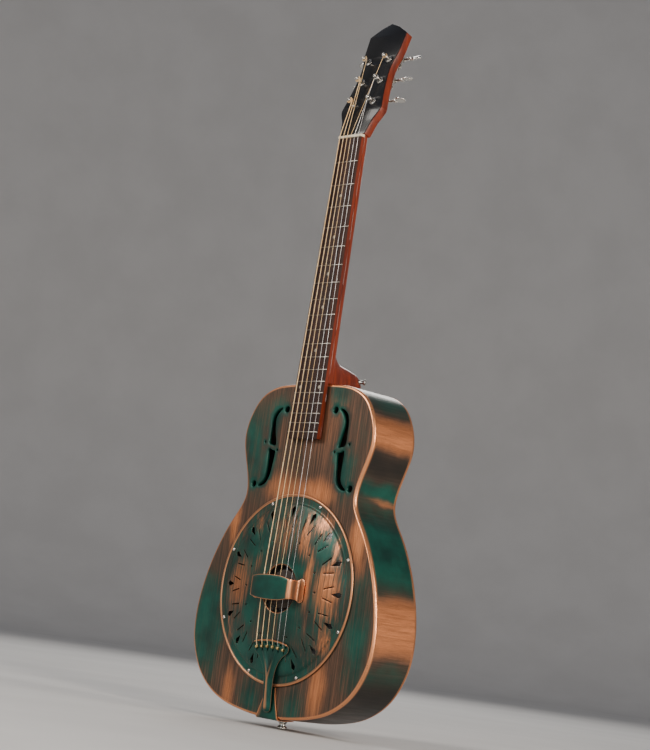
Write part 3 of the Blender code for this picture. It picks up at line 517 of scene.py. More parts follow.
def pierced_sheet(bm, outer, holes, level, spots=()):
    """Front surface between the first loop and the holes; returns the vertices of every loop."""
    loops = [outer] + holes
    points = [Vector(p[:2]) for loop in loops for p in loop]
    edges = []
    owner = []
    start = 0
    for number, loop in enumerate(loops):
        size = len(loop)
        edges += [(start + i, start + (i + 1) % size) for i in range(size)]
        owner += [number] * size
        start += size
    owner += [None] * len(spots)
    points += [Vector(p) for p in spots]
    flat, _, faces, origins, _, _ = delaunay_2d_cdt(points, edges, [], 1, 1e-9)
    verts = [bm.verts.new((p.x, height(level(p.x, p.y)), p.y)) for p in flat]
    where = {first: number for number, sources in enumerate(origins) for first in sources}
    for face in faces:
        owners = {owner[origins[i][0]] for i in face}
        middle = sum((flat[i] for i in face), Vector((0, 0))) / len(face)
        number = owners.pop() if len(owners) == 1 else None
        if number and inside(middle.x, middle.y, loops[number]):
            continue
        if number == 0 and not inside(middle.x, middle.y, outer):
            continue
        bm.faces.new([verts[i] for i in face])
    result = []
    start = 0
    for loop in loops:
        result.append([verts[where[start + i]] for i in range(len(loop))])
        start += len(loop)
    return result


def rolled(bm, first, loop, profile, level, wear, damp=None):
    """Rings that follow the loop's vertices; the profile gives how far out, how far back and how worn.

    A `damp` layer marks the new rings as green.
    """
    last = first
    for out, back, amount in profile:
        places = [(x, height(level(x, z) - back), z) for x, z in outward(loop, out)]
        ring = worn_ring(bm, wear, places, amount)
        if damp:
            for vert in ring:
                vert[damp] = 1.0
        bridge(bm, last, ring)
        last = ring


def profile_mm(profile):
    """(out, back, wear) with its distances given in mm."""
    return [(out * MM, back * MM, amount) for out, back, amount in profile]


def flat_level(x, z):
    return 0.0


# --- materials ----------------------------------------------------------------------------------

class Nodes:
    """Short names for building one material's nodes."""

    def __init__(self, name):
        self.material = bpy.data.materials.new(name)
        self.material.use_nodes = True
        self.tree = self.material.node_tree
        self.shader = self.tree.nodes["Principled BSDF"]

    def new(self, kind, **settings):
        node = self.tree.nodes.new(kind)
        for key, value in settings.items():
            setattr(node, key, value)
        return node

    def put(self, socket, value):
        if isinstance(value, bpy.types.NodeSocket):
            self.tree.links.new(value, socket)
        elif isinstance(value, tuple) and len(value) == 3 and socket.type == "RGBA":
            socket.default_value = (*value, 1)
        else:
            socket.default_value = value

    def place(self, scale=(1, 1, 1)):
        coords = self.new("ShaderNodeTexCoord")
        mapping = self.new("ShaderNodeMapping")
        self.put(mapping.inputs["Vector"], coords.outputs["Object"])
        self.put(mapping.inputs["Scale"], scale)
        return mapping.outputs["Vector"]

    def noise(self, scale, place=(1, 1, 1), detail=4, roughness=0.55):
        """Noise from 0 to 1; `scale` is in lumps per metre, stretched by `place`."""
        node = self.new("ShaderNodeTexNoise")
        self.put(node.inputs["Vector"], self.place(place))
        self.put(node.inputs["Scale"], scale)
        self.put(node.inputs["Detail"], detail)
        self.put(node.inputs["Roughness"], roughness)
        return node.outputs["Fac"]

    def math(self, operation, a, b=0.0, clamp=False):
        node = self.new("ShaderNodeMath", operation=operation, use_clamp=clamp)
        self.put(node.inputs[0], a)
        self.put(node.inputs[1], b)
        return node.outputs[0]

    def ramp(self, value, low, high, bottom=0.0, top=1.0):
        """The value carried smoothly from low..high to bottom..top, and held beyond."""
        node = self.new("ShaderNodeMapRange", interpolation_type="SMOOTHSTEP")
        for socket, number in zip(("Value", "From Min", "From Max", "To Min", "To Max"),
                                  (value, low, high, bottom, top)):
            self.put(node.inputs[socket], number)
        return node.outputs["Result"]

    def mix(self, amount, a, b):
        node = self.new("ShaderNodeMix", data_type="RGBA")
        self.put(node.inputs["Factor"], amount)
        self.put(node.inputs[6], a)
        self.put(node.inputs[7], b)
        return node.outputs[2]

    def spot(self, centre, radii, weight, warp):
        """Soft ellipsoid, `weight` at its middle and 0 outside."""
        away = self.new("ShaderNodeVectorMath", operation="SUBTRACT")
        self.put(away.inputs[0], warp)
        self.put(away.inputs[1], tuple(v * MM for v in centre))
        scaled = self.new("ShaderNodeVectorMath", operation="MULTIPLY")
        self.put(scaled.inputs[0], away.outputs[0])
        self.put(scaled.inputs[1], tuple(1 / (v * MM) for v in radii))
        length = self.new("ShaderNodeVectorMath", operation="LENGTH")
        self.put(length.inputs[0], scaled.outputs[0])
        return self.ramp(length.outputs["Value"], 0.0, 1.15, weight, 0.0)

    def spots(self, listed, warp):
        total = 0.0
        for centre, radii, weight in listed:
            total = self.math("ADD", total, self.spot(centre, radii, weight, warp))
        return total

    def warped(self, scale, amount):
        """Object coordinates pushed about by noise, for ragged edges."""
        coords = self.new("ShaderNodeTexCoord").outputs["Object"]
        lumps = self.new("ShaderNodeTexNoise")
        self.put(lumps.inputs["Vector"], coords)
        self.put(lumps.inputs["Scale"], scale)
        self.put(lumps.inputs["Detail"], 3)
        centred = self.new("ShaderNodeVectorMath", operation="SUBTRACT")
        self.put(centred.inputs[0], lumps.outputs["Color"])
        self.put(centred.inputs[1], (0.5, 0.5, 0.5))
        pushed = self.new("ShaderNodeVectorMath", operation="MULTIPLY_ADD")
        self.put(pushed.inputs[0], centred.outputs[0])
        self.put(pushed.inputs[1], (amount, amount, amount))
        self.put(pushed.inputs[2], coords)
        return pushed.outputs[0]

    def attribute(self, name):
        return self.new("ShaderNodeAttribute", attribute_name=name).outputs["Fac"]

    def bump(self, value, distance, strength=1.0):
        node = self.new("ShaderNodeBump")
        self.put(node.inputs["Height"], value)
        self.put(node.inputs["Distance"], distance)
        self.put(node.inputs["Strength"], strength)
        return node.outputs["Normal"]

    def finish(self, colour, roughness, metallic, **others):
        self.put(self.shader.inputs["Base Color"], colour)
        self.put(self.shader.inputs["Roughness"], roughness)
        self.put(self.shader.inputs["Metallic"], metallic)
        names = {"normal": "Normal", "coat": "Coat Weight", "coat_roughness": "Coat Roughness",
                 "specular": "Specular IOR Level", "anisotropic": "Anisotropic"}
        for key, value in others.items():
            self.put(self.shader.inputs[names[key]], value)
        return self.material


COPPER = (0.72, 0.285, 0.125)
COPPER_DEEP = (0.40, 0.130, 0.045)
EDGE_BRIGHT = (0.84, 0.36, 0.17)
BRONZE_BROWN = (0.050, 0.028, 0.017)
BROWN_GREY = (0.080, 0.052, 0.038)
DARK = (0.012, 0.012, 0.010)
VERDIGRIS = (0.006, 0.085, 0.060)
VERDIGRIS_DEEP = (0.004, 0.034, 0.026)


def patina(name, brush, copper_spots, green_spots, green_base, copper_base, dark_spots=(), streaky=1.0):
    """Brushed copper with verdigris: lists of (centre, radii, weight) in mm say where each shows most."""
    n = Nodes(name)
    warp = n.warped(20, 0.020)
    streaks = n.noise(1, brush, 5, 0.62)
    fine = n.noise(1, tuple(v * 3.6 for v in brush), 3, 0.6)
    blotches = n.noise(26, detail=5)
    pits = n.noise(420, detail=3)
    wear = n.attribute("wear")
    damp = n.attribute("damp")

    brushed = n.math("MULTIPLY", n.math("SUBTRACT", streaks, 0.5), 0.75 * streaky)
    fine_part = n.math("MULTIPLY", n.math("SUBTRACT", fine, 0.5), 0.45 * streaky)
    mottle = n.math("MULTIPLY", n.math("SUBTRACT", blotches, 0.5), 0.40)
    green_place = n.math("ADD", n.spots(green_spots, warp), green_base)
    green_place = n.math("SUBTRACT", green_place, n.math("MULTIPLY", brushed, 0.6))
    green_place = n.math("ADD", green_place, mottle)
    # For the sides, the copper spots include painted highlight bands.
    copper_place = n.math("ADD", n.spots(copper_spots, warp), copper_base)
    copper_place = n.math("ADD", copper_place, n.math("ADD", brushed, fine_part))
    green_place = n.math("SUBTRACT", green_place, n.math("MULTIPLY", copper_place, 0.45))
    green = n.ramp(n.math("ADD", green_place, damp), 0.02, 0.80)
    copper = n.ramp(n.math("SUBTRACT", copper_place, damp), 0.12, 1.12)

    base = n.mix(n.ramp(streaks, 0.30, 0.72), BRONZE_BROWN, BROWN_GREY)
    dull = n.mix(green, base, n.mix(n.ramp(blotches, 0.30, 0.75), VERDIGRIS_DEEP, VERDIGRIS))
    shown = n.math("MULTIPLY", copper, n.math("SUBTRACT", 1.0, n.math("MULTIPLY", green, 0.72)))
    bright = n.mix(n.ramp(fine, 0.25, 0.60, max(0.0, 1 - streaky), 1.0), COPPER_DEEP, COPPER)
    colour = n.mix(shown, dull, bright)
    # For the sides and the cover, the dark spots include painted shade.
    if dark_spots:
        darkness = n.ramp(n.math("ADD", n.spots(dark_spots, warp), mottle), 0.05, 0.85, 0.0, 0.92)
        colour = n.mix(darkness, colour, DARK)
    tarnish = n.ramp(pits, 0.60, 0.78, 0.0, 0.35)
    colour = n.mix(tarnish, colour, DARK)
    rubbed = n.ramp(n.math("ADD", wear, n.math("MULTIPLY", mottle, 0.5)), 0.18, 0.95)
    colour = n.mix(rubbed, colour, n.mix(n.ramp(blotches, 0.2, 0.8), EDGE_BRIGHT, COPPER))
    metal = n.math("MAXIMUM", n.math("MULTIPLY", shown, 1.15), rubbed, clamp=True)
    roughness = n.math("SUBTRACT", n.ramp(streaks, 0.3, 0.7, 0.46, 0.34), n.math("MULTIPLY", rubbed, 0.08))
    relief = n.math("ADD", n.math("MULTIPLY", fine, 0.7), n.math("MULTIPLY", pits, 0.3))
    return n.finish(colour, roughness, n.ramp(metal, 0.0, 1.0, 0.45, 0.95),
                    specular=0.35, normal=n.bump(relief, 0.00010, 0.45), coat=0.10, coat_roughness=0.25)


def plated(name, colour, shade, roughness, lumps=260, metallic=1.0):
    """Plated or bare metal with faint clouding and scratches."""
    n = Nodes(name)
    cloud = n.noise(lumps, detail=4)
    scratch = n.noise(1, (1800, 1800, 160), 2)
    tone = n.mix(n.ramp(cloud, 0.35, 0.72), colour, shade)
    rough = n.math("ADD", n.ramp(scratch, 0.3, 0.7, roughness * 0.75, roughness * 1.3),
                   n.ramp(cloud, 0.4, 0.8, 0.0, 0.12))
    return n.finish(tone, rough, metallic, normal=n.bump(scratch, 0.00003, 0.5))


def wood(name, light, dark, grain, roughness, coat=0.0, pores=0.5):
    """Wood with its grain along the axis where `grain` is smallest."""
    n = Nodes(name)
    broad = n.noise(1, grain, 5, 0.6)
    fibre = n.noise(1, tuple(v * 5 for v in grain), 3, 0.6)
    rays = n.ramp(n.noise(1, tuple(v * 9 for v in grain), 2), 0.55, 0.75, 0.0, pores)
    colour = n.mix(n.ramp(broad, 0.3, 0.72), light, dark)
    colour = n.mix(n.ramp(fibre, 0.45, 0.72, 0.0, 0.5), colour, dark)
    colour = n.mix(rays, colour, tuple(v * 0.35 for v in dark))
    return n.finish(colour, n.ramp(fibre, 0.3, 0.7, roughness * 0.85, roughness * 1.2), 0.0,
                    specular=0.3, normal=n.bump(fibre, 0.00006, 0.5), coat=coat, coat_roughness=0.10)


def spun(name, colour, shade, centre, roughness):
    """Metal with the fine rings that spinning leaves, round an axis along Y through `centre`."""
    n = Nodes(name)
    away = n.new("ShaderNodeVectorMath", operation="SUBTRACT")
    n.put(away.inputs[0], n.place())
    n.put(away.inputs[1], centre)
    flat = n.new("ShaderNodeVectorMath", operation="MULTIPLY")
    n.put(flat.inputs[0], away.outputs[0])
    n.put(flat.inputs[1], (1, 0, 1))
    radius = n.new("ShaderNodeVectorMath", operation="LENGTH")
    n.put(radius.inputs[0], flat.outputs[0])
    lines = n.math("SINE", n.math("MULTIPLY", radius.outputs["Value"], 5200))
    cloud = n.noise(45, detail=5)
    tone = n.mix(n.ramp(cloud, 0.3, 0.7), colour, shade)
    return n.finish(tone, n.ramp(cloud, 0.3, 0.7, roughness, roughness + 0.15), 1.0,
                    normal=n.bump(lines, 0.00006, 0.6))


def lacquer(name, colour, tint):
    """Polished lacquer with faint waviness and fine dust under it."""
    n = Nodes(name)
    wave = n.noise(22, detail=2)
    dust = n.ramp(n.noise(900, detail=2), 0.70, 0.82, 0.0, 0.5)
    tone = n.mix(dust, colour, tint)
    return n.finish(tone, n.ramp(wave, 0.3, 0.7, 0.16, 0.26), 0.0,
                    normal=n.bump(wave, 0.0004, 0.25), specular=0.28, coat=0.12, coat_roughness=0.05)


def windings(name, colour, shade, pitch):
    """Wire wound round a core: the rings follow the distance along the string."""
    n = Nodes(name)
    along = n.attribute("along")
    rings = n.math("SINE", n.math("MULTIPLY", along, 2 * pi / pitch))
    cloud = n.noise(90, detail=4)
    tone = n.mix(n.ramp(cloud, 0.3, 0.7), colour, shade)
    # The grooves between the windings are darkened: painted shade.
    tone = n.mix(n.ramp(rings, -1.0, 0.2, 0.25, 0.0), tone, tuple(v * 0.25 for v in shade))
    return n.finish(tone, 0.46, 0.55, normal=n.bump(rings, 0.00006, 0.5))


def bone(name):
    n = Nodes(name)
    grain = n.noise(1, (60, 400, 400), 4)
    stain = n.noise(120, detail=4)
    tone = n.mix(n.ramp(grain, 0.3, 0.7), (0.78, 0.70, 0.54), (0.62, 0.52, 0.36))
    tone = n.mix(n.ramp(stain, 0.6, 0.8, 0.0, 0.35), tone, (0.30, 0.20, 0.11))
    return n.finish(tone, n.ramp(stain, 0.3, 0.7, 0.30, 0.45), 0.0, normal=n.bump(grain, 0.00005, 0.5))


def pearl(name):
    n = Nodes(name)
    swirl = n.noise(330, (1, 1, 0.4), 5, 0.7)
    tone = n.mix(n.ramp(swirl, 0.35, 0.65), (0.42, 0.36, 0.26), (0.20, 0.19, 0.16))
    return n.finish(tone, n.ramp(swirl, 0.3, 0.7, 0.16, 0.34), 0.15, normal=n.bump(swirl, 0.00005, 0.4))


def plain_ground(name):
    n = Nodes(name)
    mottle = n.noise(3.5, detail=5)
    tone = n.mix(n.ramp(mottle, 0.3, 0.7), (0.56, 0.555, 0.55), (0.60, 0.595, 0.59))
    return n.finish(tone, 0.9, 0.0, specular=0.2)


WIDE = 1000                          # mm, a radius that reaches right across


def patches(listed, depth=0):
    """Spots that reach from front to back, given as (x, z, half width, half height, weight) in mm."""
    return [((x, depth, z), (wide, WIDE, tall), weight) for x, z, wide, tall, weight in listed]


def bands(listed):
    """Spots that reach right round the body, given as (z, half height, weight) in mm."""
    return [((WIDE / 2, 0, z), (WIDE, WIDE, tall), weight) for z, tall, weight in listed]


TOP_COPPER = patches([(38, 322, 44, 26, 0.75), (-30, 326, 56, 26, 0.55), (-124, 275, 16, 44, 0.85),
                      (124, 268, 20, 40, 0.95), (88, 62, 22, 58, 0.75), (-88, 42, 17, 44, 0.6),
                      (30, 420, 60, 70, 0.18), (136, 236, 14, 40, 0.35)])
TOP_GREEN = patches([(52, 462, 28, 26, 0.75), (-110, 392, 34, 80, 0.62), (84, 352, 30, 54, 0.62),
                     (-68, 428, 26, 40, 0.42), (-150, 130, 52, 110, 0.82), (148, 140, 34, 110, 0.62),
                     (-42, 36, 34, 44, 0.62), (44, 34, 30, 40, 0.48), (-80, 340, 34, 46, 0.4)])
TOP_DARK = patches([(-20, 380, 40, 60, 0.3), (20, 14, 60, 18, 0.35), (150, 90, 30, 60, 0.25)])
COVER_COPPER = patches([(-87, 188, 34, 48, 0.72), (88, 192, 38, 56, 0.8), (38, 262, 14, 52, 0.7),
                        (66, 280, 24, 24, 0.62), (0, 266, 34, 44, 0.42), (92, 126, 18, 26, 0.6),
                        (52, 205, 9, 52, 0.9), (-62, 272, 14, 34, 0.42), (-92, 130, 12, 34, 0.45),
                        (-50, 225, 12, 26, 0.45), (94, 252, 9, 30, 0.55)])
COVER_GREEN = patches([(0, 88, 80, 30, 0.7), (-70, 100, 30, 34, 0.35), (-60, 250, 34, 40, 0.4),
                       (20, 220, 30, 24, 0.5), (-50, 165, 16, 40, 0.6), (75, 240, 18, 20, 0.55),
                       (30, 150, 26, 30, 0.42)])
# Dark patches on the cover; the first, along the tailpiece's top edge, is painted shade under the tailpiece,
# also seen through its slots. The others darken the cover in patches.
COVER_DARK_AND_SHADE = patches([(0, 106, 36, 12, 0.95), (20, 128, 44, 34, 0.55), (-16, 150, 22, 30, 0.45),
                      (-20, 228, 24, 18, 0.45), (60, 160, 12, 24, 0.3)])
# Copper on the sides: the two bands at z 409 and 154 are partly worn copper and partly painted highlight,
# bands of reflected lamp light running round the sides.
SIDE_COPPER_AND_HIGHLIGHT = (bands([(409, 32, 1.7), (154, 54, 1.75)])
               + patches([(0, 14, 90, 14, 0.75), (0, 476, 80, 14, 0.35)])
               + [((112, 30, 322), (40, 50, 9), 0.6), ((-112, 30, 330), (40, 50, 12), 0.6)])
SIDE_GREEN = bands([(255, 84, 0.95), (456, 26, 0.55), (92, 30, 0.3)]) + patches([(112, 334, 40, 16, 0.6)])
# Darker bands round the sides; the strong ones at z 368 and 56 are partly darker patina and partly painted
# shade, below the highlight band and towards the bottom.
SIDE_DARK_AND_SHADE = bands([(368, 34, 0.95), (56, 52, 0.95), (452, 30, 0.45), (206, 14, 0.35)])
BACK_COPPER = patches([(-60, 300, 56, 130, 0.55), (76, 130, 46, 120, 0.62), (30, 440, 60, 60, 0.42)], 50)
BACK_GREEN = patches([(-104, 130, 50, 150, 0.62), (62, 290, 46, 120, 0.5), (-60, 440, 60, 60, 0.42),
                      (6, 70, 36, 90, 0.45)], 50)
REST_COPPER = patches([(48, 188, 12, 40, 0.8), (-48, 188, 12, 40, 0.6)])
REST_GREEN = patches([(0, 188, 46, 40, 1.0)])
TAIL_COPPER = patches([(-17, 22, 7, 26, 0.7)])
TAIL_GREEN = patches([(0, 100, 44, 34, 0.95), (10, 50, 10, 60, 0.5)])
TAIL_DARK = patches([(0, 84, 9, 22, 0.55), (15, 60, 5, 50, 0.6)])
UPRIGHT = (330, 330, 9)              # brushing along the body's length, lumps per metre
ACROSS = (9, 14, 330)                # brushing along the depth


def make_looks():
    LOOKS.update({
        "top": patina("Patina_top", UPRIGHT, TOP_COPPER, TOP_GREEN, 0.22, 0.22, TOP_DARK),
        "side": patina("Patina_side", ACROSS, SIDE_COPPER_AND_HIGHLIGHT, SIDE_GREEN, 0.15, 0.0, SIDE_DARK_AND_SHADE, 0.40),
        "back": patina("Patina_back", UPRIGHT, BACK_COPPER, BACK_GREEN, 0.25, 0.22),
        "cover": patina("Patina_cover", UPRIGHT, COVER_COPPER, COVER_GREEN, 0.50, 0.05, COVER_DARK_AND_SHADE, 1.9),
        "rest": patina("Patina_rest", UPRIGHT, REST_COPPER, REST_GREEN, 0.35, 0.05),
        "tail": patina("Patina_tail", UPRIGHT, TAIL_COPPER, TAIL_GREEN, 0.75, 0.0, TAIL_DARK, 0.6),
        "nickel": plated("Nickel", (0.62, 0.60, 0.56), (0.50, 0.47, 0.43), 0.20),
        "steel": plated("Plain_steel", (0.68, 0.68, 0.67), (0.48, 0.47, 0.46), 0.25),
        "fret": plated("Fret_wire", (0.36, 0.33, 0.29), (0.20, 0.18, 0.16), 0.22),
        "brass": plated("Ball_brass", (0.72, 0.52, 0.22), (0.45, 0.30, 0.12), 0.28),
        "well": plated("Well_metal", (0.16, 0.13, 0.10), (0.06, 0.05, 0.04), 0.5, 60),
        "cone": spun("Spun_aluminium", (0.78, 0.78, 0.79), (0.55, 0.55, 0.56), (0, 0, CENTRE_Z), 0.30),
        "bronze": windings("Wound_bronze", (0.98, 0.74, 0.44), (0.85, 0.56, 0.28), 0.36 * MM),
        "plain": plated("String_steel", (0.92, 0.90, 0.88), (0.78, 0.76, 0.74), 0.38),
        "mahogany": wood("Mahogany", (0.215, 0.030, 0.008), (0.090, 0.011, 0.004), (110, 110, 7), 0.36, 0.25),
        "stick": wood("Bare_mahogany", (0.30, 0.13, 0.06), (0.16, 0.06, 0.03), (110, 110, 7), 0.6),
        # The biscuit's maple is made very dark: partly dark wood and partly painted shade, for the biscuit
        # down in the cover's centre hole.
        "maple": wood("Dark_maple_with_painted_shade", (0.050, 0.034, 0.024), (0.022, 0.015, 0.011), (9, 160, 160), 0.5),
        "ebony": wood("Ebony", (0.030, 0.024, 0.020), (0.012, 0.010, 0.009), (9, 260, 260), 0.40),
        "rosewood": wood("Rosewood", (0.045, 0.014, 0.007), (0.012, 0.005, 0.004), (240, 240, 10), 0.62),
        "black": lacquer("Black_lacquer", (0.006, 0.006, 0.007), (0.05, 0.05, 0.05)),
        "bone": bone("Aged_bone"),
        "pearl": pearl("Pearl_dot"),
        "ground": plain_ground("Plain_ground"),
    })


# --- body ---------------------------------------------------------------------------------------

def body_loop():
    loop = smooth_line(mirrored(raised(mm(HALF_BODY), CENTRE_Z)), BODY_STEPS, closed=True)
    return [tuple(p) for p in evened(loop, 6)]


def edge_profile():
    """(how far inside the outline, how far back, wear) over the rounded edge of a body plate."""
    steps = 7
    arc = []
    for k in range(1, steps + 1):
        angle = pi / 2 * k / steps
        arc.append((-EDGE_R * (1 - sin(angle)), EDGE_R * (1 - cos(angle)), 0.9))
    return [(-EDGE_R - 1.6 * MM, 0, 0.08), (-EDGE_R, 0, 0.5)] + arc + [(0, EDGE_R + 0.8 * MM, 0.5)]


ROLL = [(1.35, 0.08, 0.0), (0.95, 0.28, 0.1), (0.55, 0.70, 0.25), (0.25, 1.25, 0.2), (0.06, 2.0, 0.0),
        (0, 3.0, 0.0), (0, 4.2, 0.0)]
SMALL_ROLL = [(0.5, 0.06, 0.0), (0.2, 0.3, 0.2), (0, 0.7, 0.1), (0, 1.6, 0.0)]
ROLL_START = 1.8 * MM
RIM_START = 3 * MM
SMALL_ROLL_START = 0.8 * MM


def build_top():
    loop = body_loop()
    holes = [(circle(0, CENTRE_Z, WELL_R, 120), 0, None)]
    for side in (-1, 1):
        for crescent in (UPPER_CRESCENT, LOWER_CRESCENT):
            shape = evened(smooth_line(mm(crescent), 72, True), 2)
            holes.append(([(side * x, z + CENTRE_Z) for x, z in shape], ROLL_START, ROLL))
        for x, z, radius in mm(ROUND_HOLES):
            roll = (ROLL_START, ROLL) if radius > 2 * MM else (SMALL_ROLL_START, SMALL_ROLL)
            holes.append((circle(side * x, z + CENTRE_Z, radius, 32), *roll))
    starts = [outward(hole, reach) if reach else hole for hole, reach, _ in holes]
    bm = bmesh.new()
    wear = bm.verts.layers.float.new("wear")
    damp = bm.verts.layers.float.new("damp")
    outer = outward(loop, -EDGE_R - RIM_START)
    spots = [(x * TOP_GRID * MM, z * TOP_GRID * MM) for x in range(-30, 31) for z in range(2, 80)]
    spots = outside_all(spots, outward(outer, -3 * MM), [outward(hole, 2.5 * MM) for hole in starts])
    rings = pierced_sheet(bm, outer, starts, flat_level, spots)
    rolled(bm, rings[0], loop, edge_profile(), flat_level, wear)
    for ring, (hole, _, profile) in zip(rings[1:], holes):
        if profile:
            for vert in ring:
                vert[damp] = 0.3
            rolled(bm, ring, hole, profile_mm(profile), flat_level, wear, damp)
    top = thickened(facing(made(bm)), SHEET)
    show(top, "rolled_top", "top", "body_metal", "body_top")


def facing(obj, towards=Vector((0, -1, 0))):
    """The open surface with its largest face pointing that way."""
    largest = max(obj.data.polygons, key=lambda face: face.area)
    if largest.normal.dot(towards) < 0:
        obj.data.flip_normals()
    return obj


def build_back():
    loop = body_loop()
    bm = bmesh.new()
    wear = bm.verts.layers.float.new("wear")
    rings = pierced_sheet(bm, outward(loop, -EDGE_R - RIM_START), [], flat_level)
    rolled(bm, rings[0], loop, edge_profile(), flat_level, wear)
    back = facing(made(bm))
    mirror = Matrix.Translation((0, FRONT_Y + BACK_Y, 0)) @ Matrix.Diagonal((1, -1, 1, 1))
    back.data.transform(mirror)
    back.data.flip_normals()
    show(thickened(back, SHEET), "rolled_back", "back", "body_metal", "body_back")


def build_sides():
    loop = body_loop()
    low = FRONT_Y + EDGE_R + 0.8 * MM + GAP
    high = BACK_Y - EDGE_R - 0.8 * MM - GAP
    depth = (high - low) / MM
    stations = [(0, 0.5), (2, 0.2), (5, 0), (18, 0), (32, 0), (46, 0),
                (depth - 5, 0), (depth - 2, 0.2), (depth, 0.7)]
    bm = bmesh.new()
    wear = bm.verts.layers.float.new("wear")
    rings = []
    for rise, amount in stations:
        rings.append(worn_ring(bm, wear, [(x, low + rise * MM, z) for x, z in loop], amount))
    bridge_all(bm, rings, capped=False)
    sides = made(bm)
    face = sides.data.polygons[0]
    if face.normal.dot(face.center - Vector((0, face.center.y, CENTRE_Z))) < 0:
        sides.data.flip_normals()
    sides = thickened(sides, SHEET)
    show(combined(sides, pin_hole()), "side_band", "side", "body_metal", "body_sides")


def pin_hole():
    """Cut for the end pin."""
    return rod(PIN_HOLE_R, 30 * MM, -OVER_CUT, 24)


# --- inside -------------------------------------------------------------------------------------

def build_inside():
    inner, level = CONE_CENTRE[-1]
    slope = []
    for k in range(1, 33):
        t = k / 32
        radius = inner + (CONE_SLOPE_END - inner) * t
        slope.append((radius, level - CONE_FALL * t + CONE_RIDGE * sin(radius * pi / 3)))
    shape = turned(mm(CONE_CENTRE + slope + CONE_RIM), 144, facing_front(0, CENTRE_Z), closed=False)
    show(thickened(facing(shape), CONE_THICK), "spun_cone", "cone", "cone_aluminium", "resonator_cone")

    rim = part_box("biscuit")
    radius = (rim[1].x - rim[0].x) / 2
    low = FRONT_Y - rim[1].y
    top = FRONT_Y - rim[0].y
    profile = softened([(0, top), (radius, top), (radius, low), (0, low)], 1.2 * MM)
    disc = turned(profile, 72, facing_front(0, CENTRE_Z))
    depth = top - (FRONT_Y - SADDLE_HIGH.y) + GAP
    half = (SADDLE_HIGH.z - SADDLE_LOW.z) / 2 + GAP
    slot = box((-radius - 5 * MM, height(top + 5 * MM), SADDLE_Z - half),
               (radius + 5 * MM, height(top - depth), SADDLE_Z + half))
    show(combined(disc, slot), "turned_biscuit", "maple", "maple", "biscuit")

    crown = []
    for k in range(24, -25, -1):
        x = SADDLE_HALF * k / 24
        under_string = any(abs(x - spread(SADDLE_SPREAD, index)) < 0.7 * MM for index in range(STRINGS))
        notch = 0.25 * MM if under_string else 0.0
        crown.append((x, FRONT_Y - SADDLE_LOW.y - SADDLE_CROWN * (k / 24) ** 2 - notch))
    low = FRONT_Y - SADDLE_HIGH.y
    turn = Matrix.Translation((0, FRONT_Y, SADDLE_Z)) @ Matrix.Rotation(pi, 4, "Z")
    saddle = prism([[(-SADDLE_HALF, low), (SADDLE_HALF, low)] + crown], SADDLE_HIGH.z - SADDLE_LOW.z, turn)
    show(bevelled(saddle, 0.35 * MM), "slotted_saddle", "ebony", "ebony", "saddle")
    for node, look in (("sound_well", "well"), ("biscuit_screw", "nickel"), ("neck_stick", "stick"),
                       ("end_block", "stick"), ("truss_rod", "steel")):
        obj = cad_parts[node]
        obj.data.materials.clear()
        obj.data.materials.append(LOOKS[look])


# --- coverplate ---------------------------------------------------------------------------------

DOME = [(31, 11.35), (40, 11.95), (62, 11.5), (82, 10), (102, 7.2), (116, 3.9)]
FIELD_R = 116 * MM
CROWN_R = 35.5 * MM
RIM = [(117, 3.4, 0.0), (118, 2.6, 0.05), (118.7, 2.0, 0.0), (119.4, 1.7, 0.0), (120.2, 1.6, 0.0),
       (123.5, 1.6, 0.0), (126.6, 1.6, 0.0), (127.3, 1.5, 0.0), (127.8, 1.7, 0.2), (128.4, 2.5, 0.8),
       (129.3, 3.1, 0.45), (130.3, 3.1, 0.6), (131.3, 2.5, 0.95), (131.85, 1.7, 0.5), (132, 0.9, 0.1)]
CENTRE_LIP = [(34.5, 11.95, 0.2), (33.6, 11.8, 0.5), (32.9, 11.4, 0.7), (32.5, 10.7, 0.4), (32.5, 9.6, 0.0)]
STAMP = [(0.28, 0.04, 0.20), (0.1, 0.16, 0.35), (0, 0.42, 0.2), (0, 0.9, 0.0)]
STAMP_START = 0.5 * MM
KITE = [(0, 98), (3.8, 110.5), (0, 114.8), (-3.8, 110.5)]
DIAMOND = [(0, 67), (1.6, 69), (0, 71), (-1.6, 69)]


def dome(radius):
    points = mm(DOME)
    for (ra, ha), (rb, hb) in zip(points, points[1:]):
        if radius <= rb or rb == points[-1][0]:
            t = (radius - ra) / (rb - ra)
            return ha + (hb - ha) * t
    return points[-1][1]


def smooth_dome(x, z):
    """Height of the domed field, evened over a few millimetres of radius."""
    radius = hypot(x, z - CENTRE_Z)
    reach = 7 * MM
    return sum(dome(radius + reach * (k / 4 - 1)) for k in range(9)) / 9


def cover_holes():
    slit = [Vector((5.3, 84.2)), Vector((9.9, 100.7)), Vector((11.3, 100.3)), Vector((6.7, 83.8))]
    shapes = [(KITE, 0.3), (DIAMOND, 0.2), (slit, 0.4), ([Vector((-p.x, p.y)) for p in reversed(slit)], 0.4)]
    for k in range(16):
        turn = Matrix.Rotation(-pi / 8 * k, 2)
        for corners, radius in shapes:
            loop = []
            for point in rounded(corners, radius):
                x, z = turn @ point * MM
                loop.append((x, z + CENTRE_Z))
            yield loop


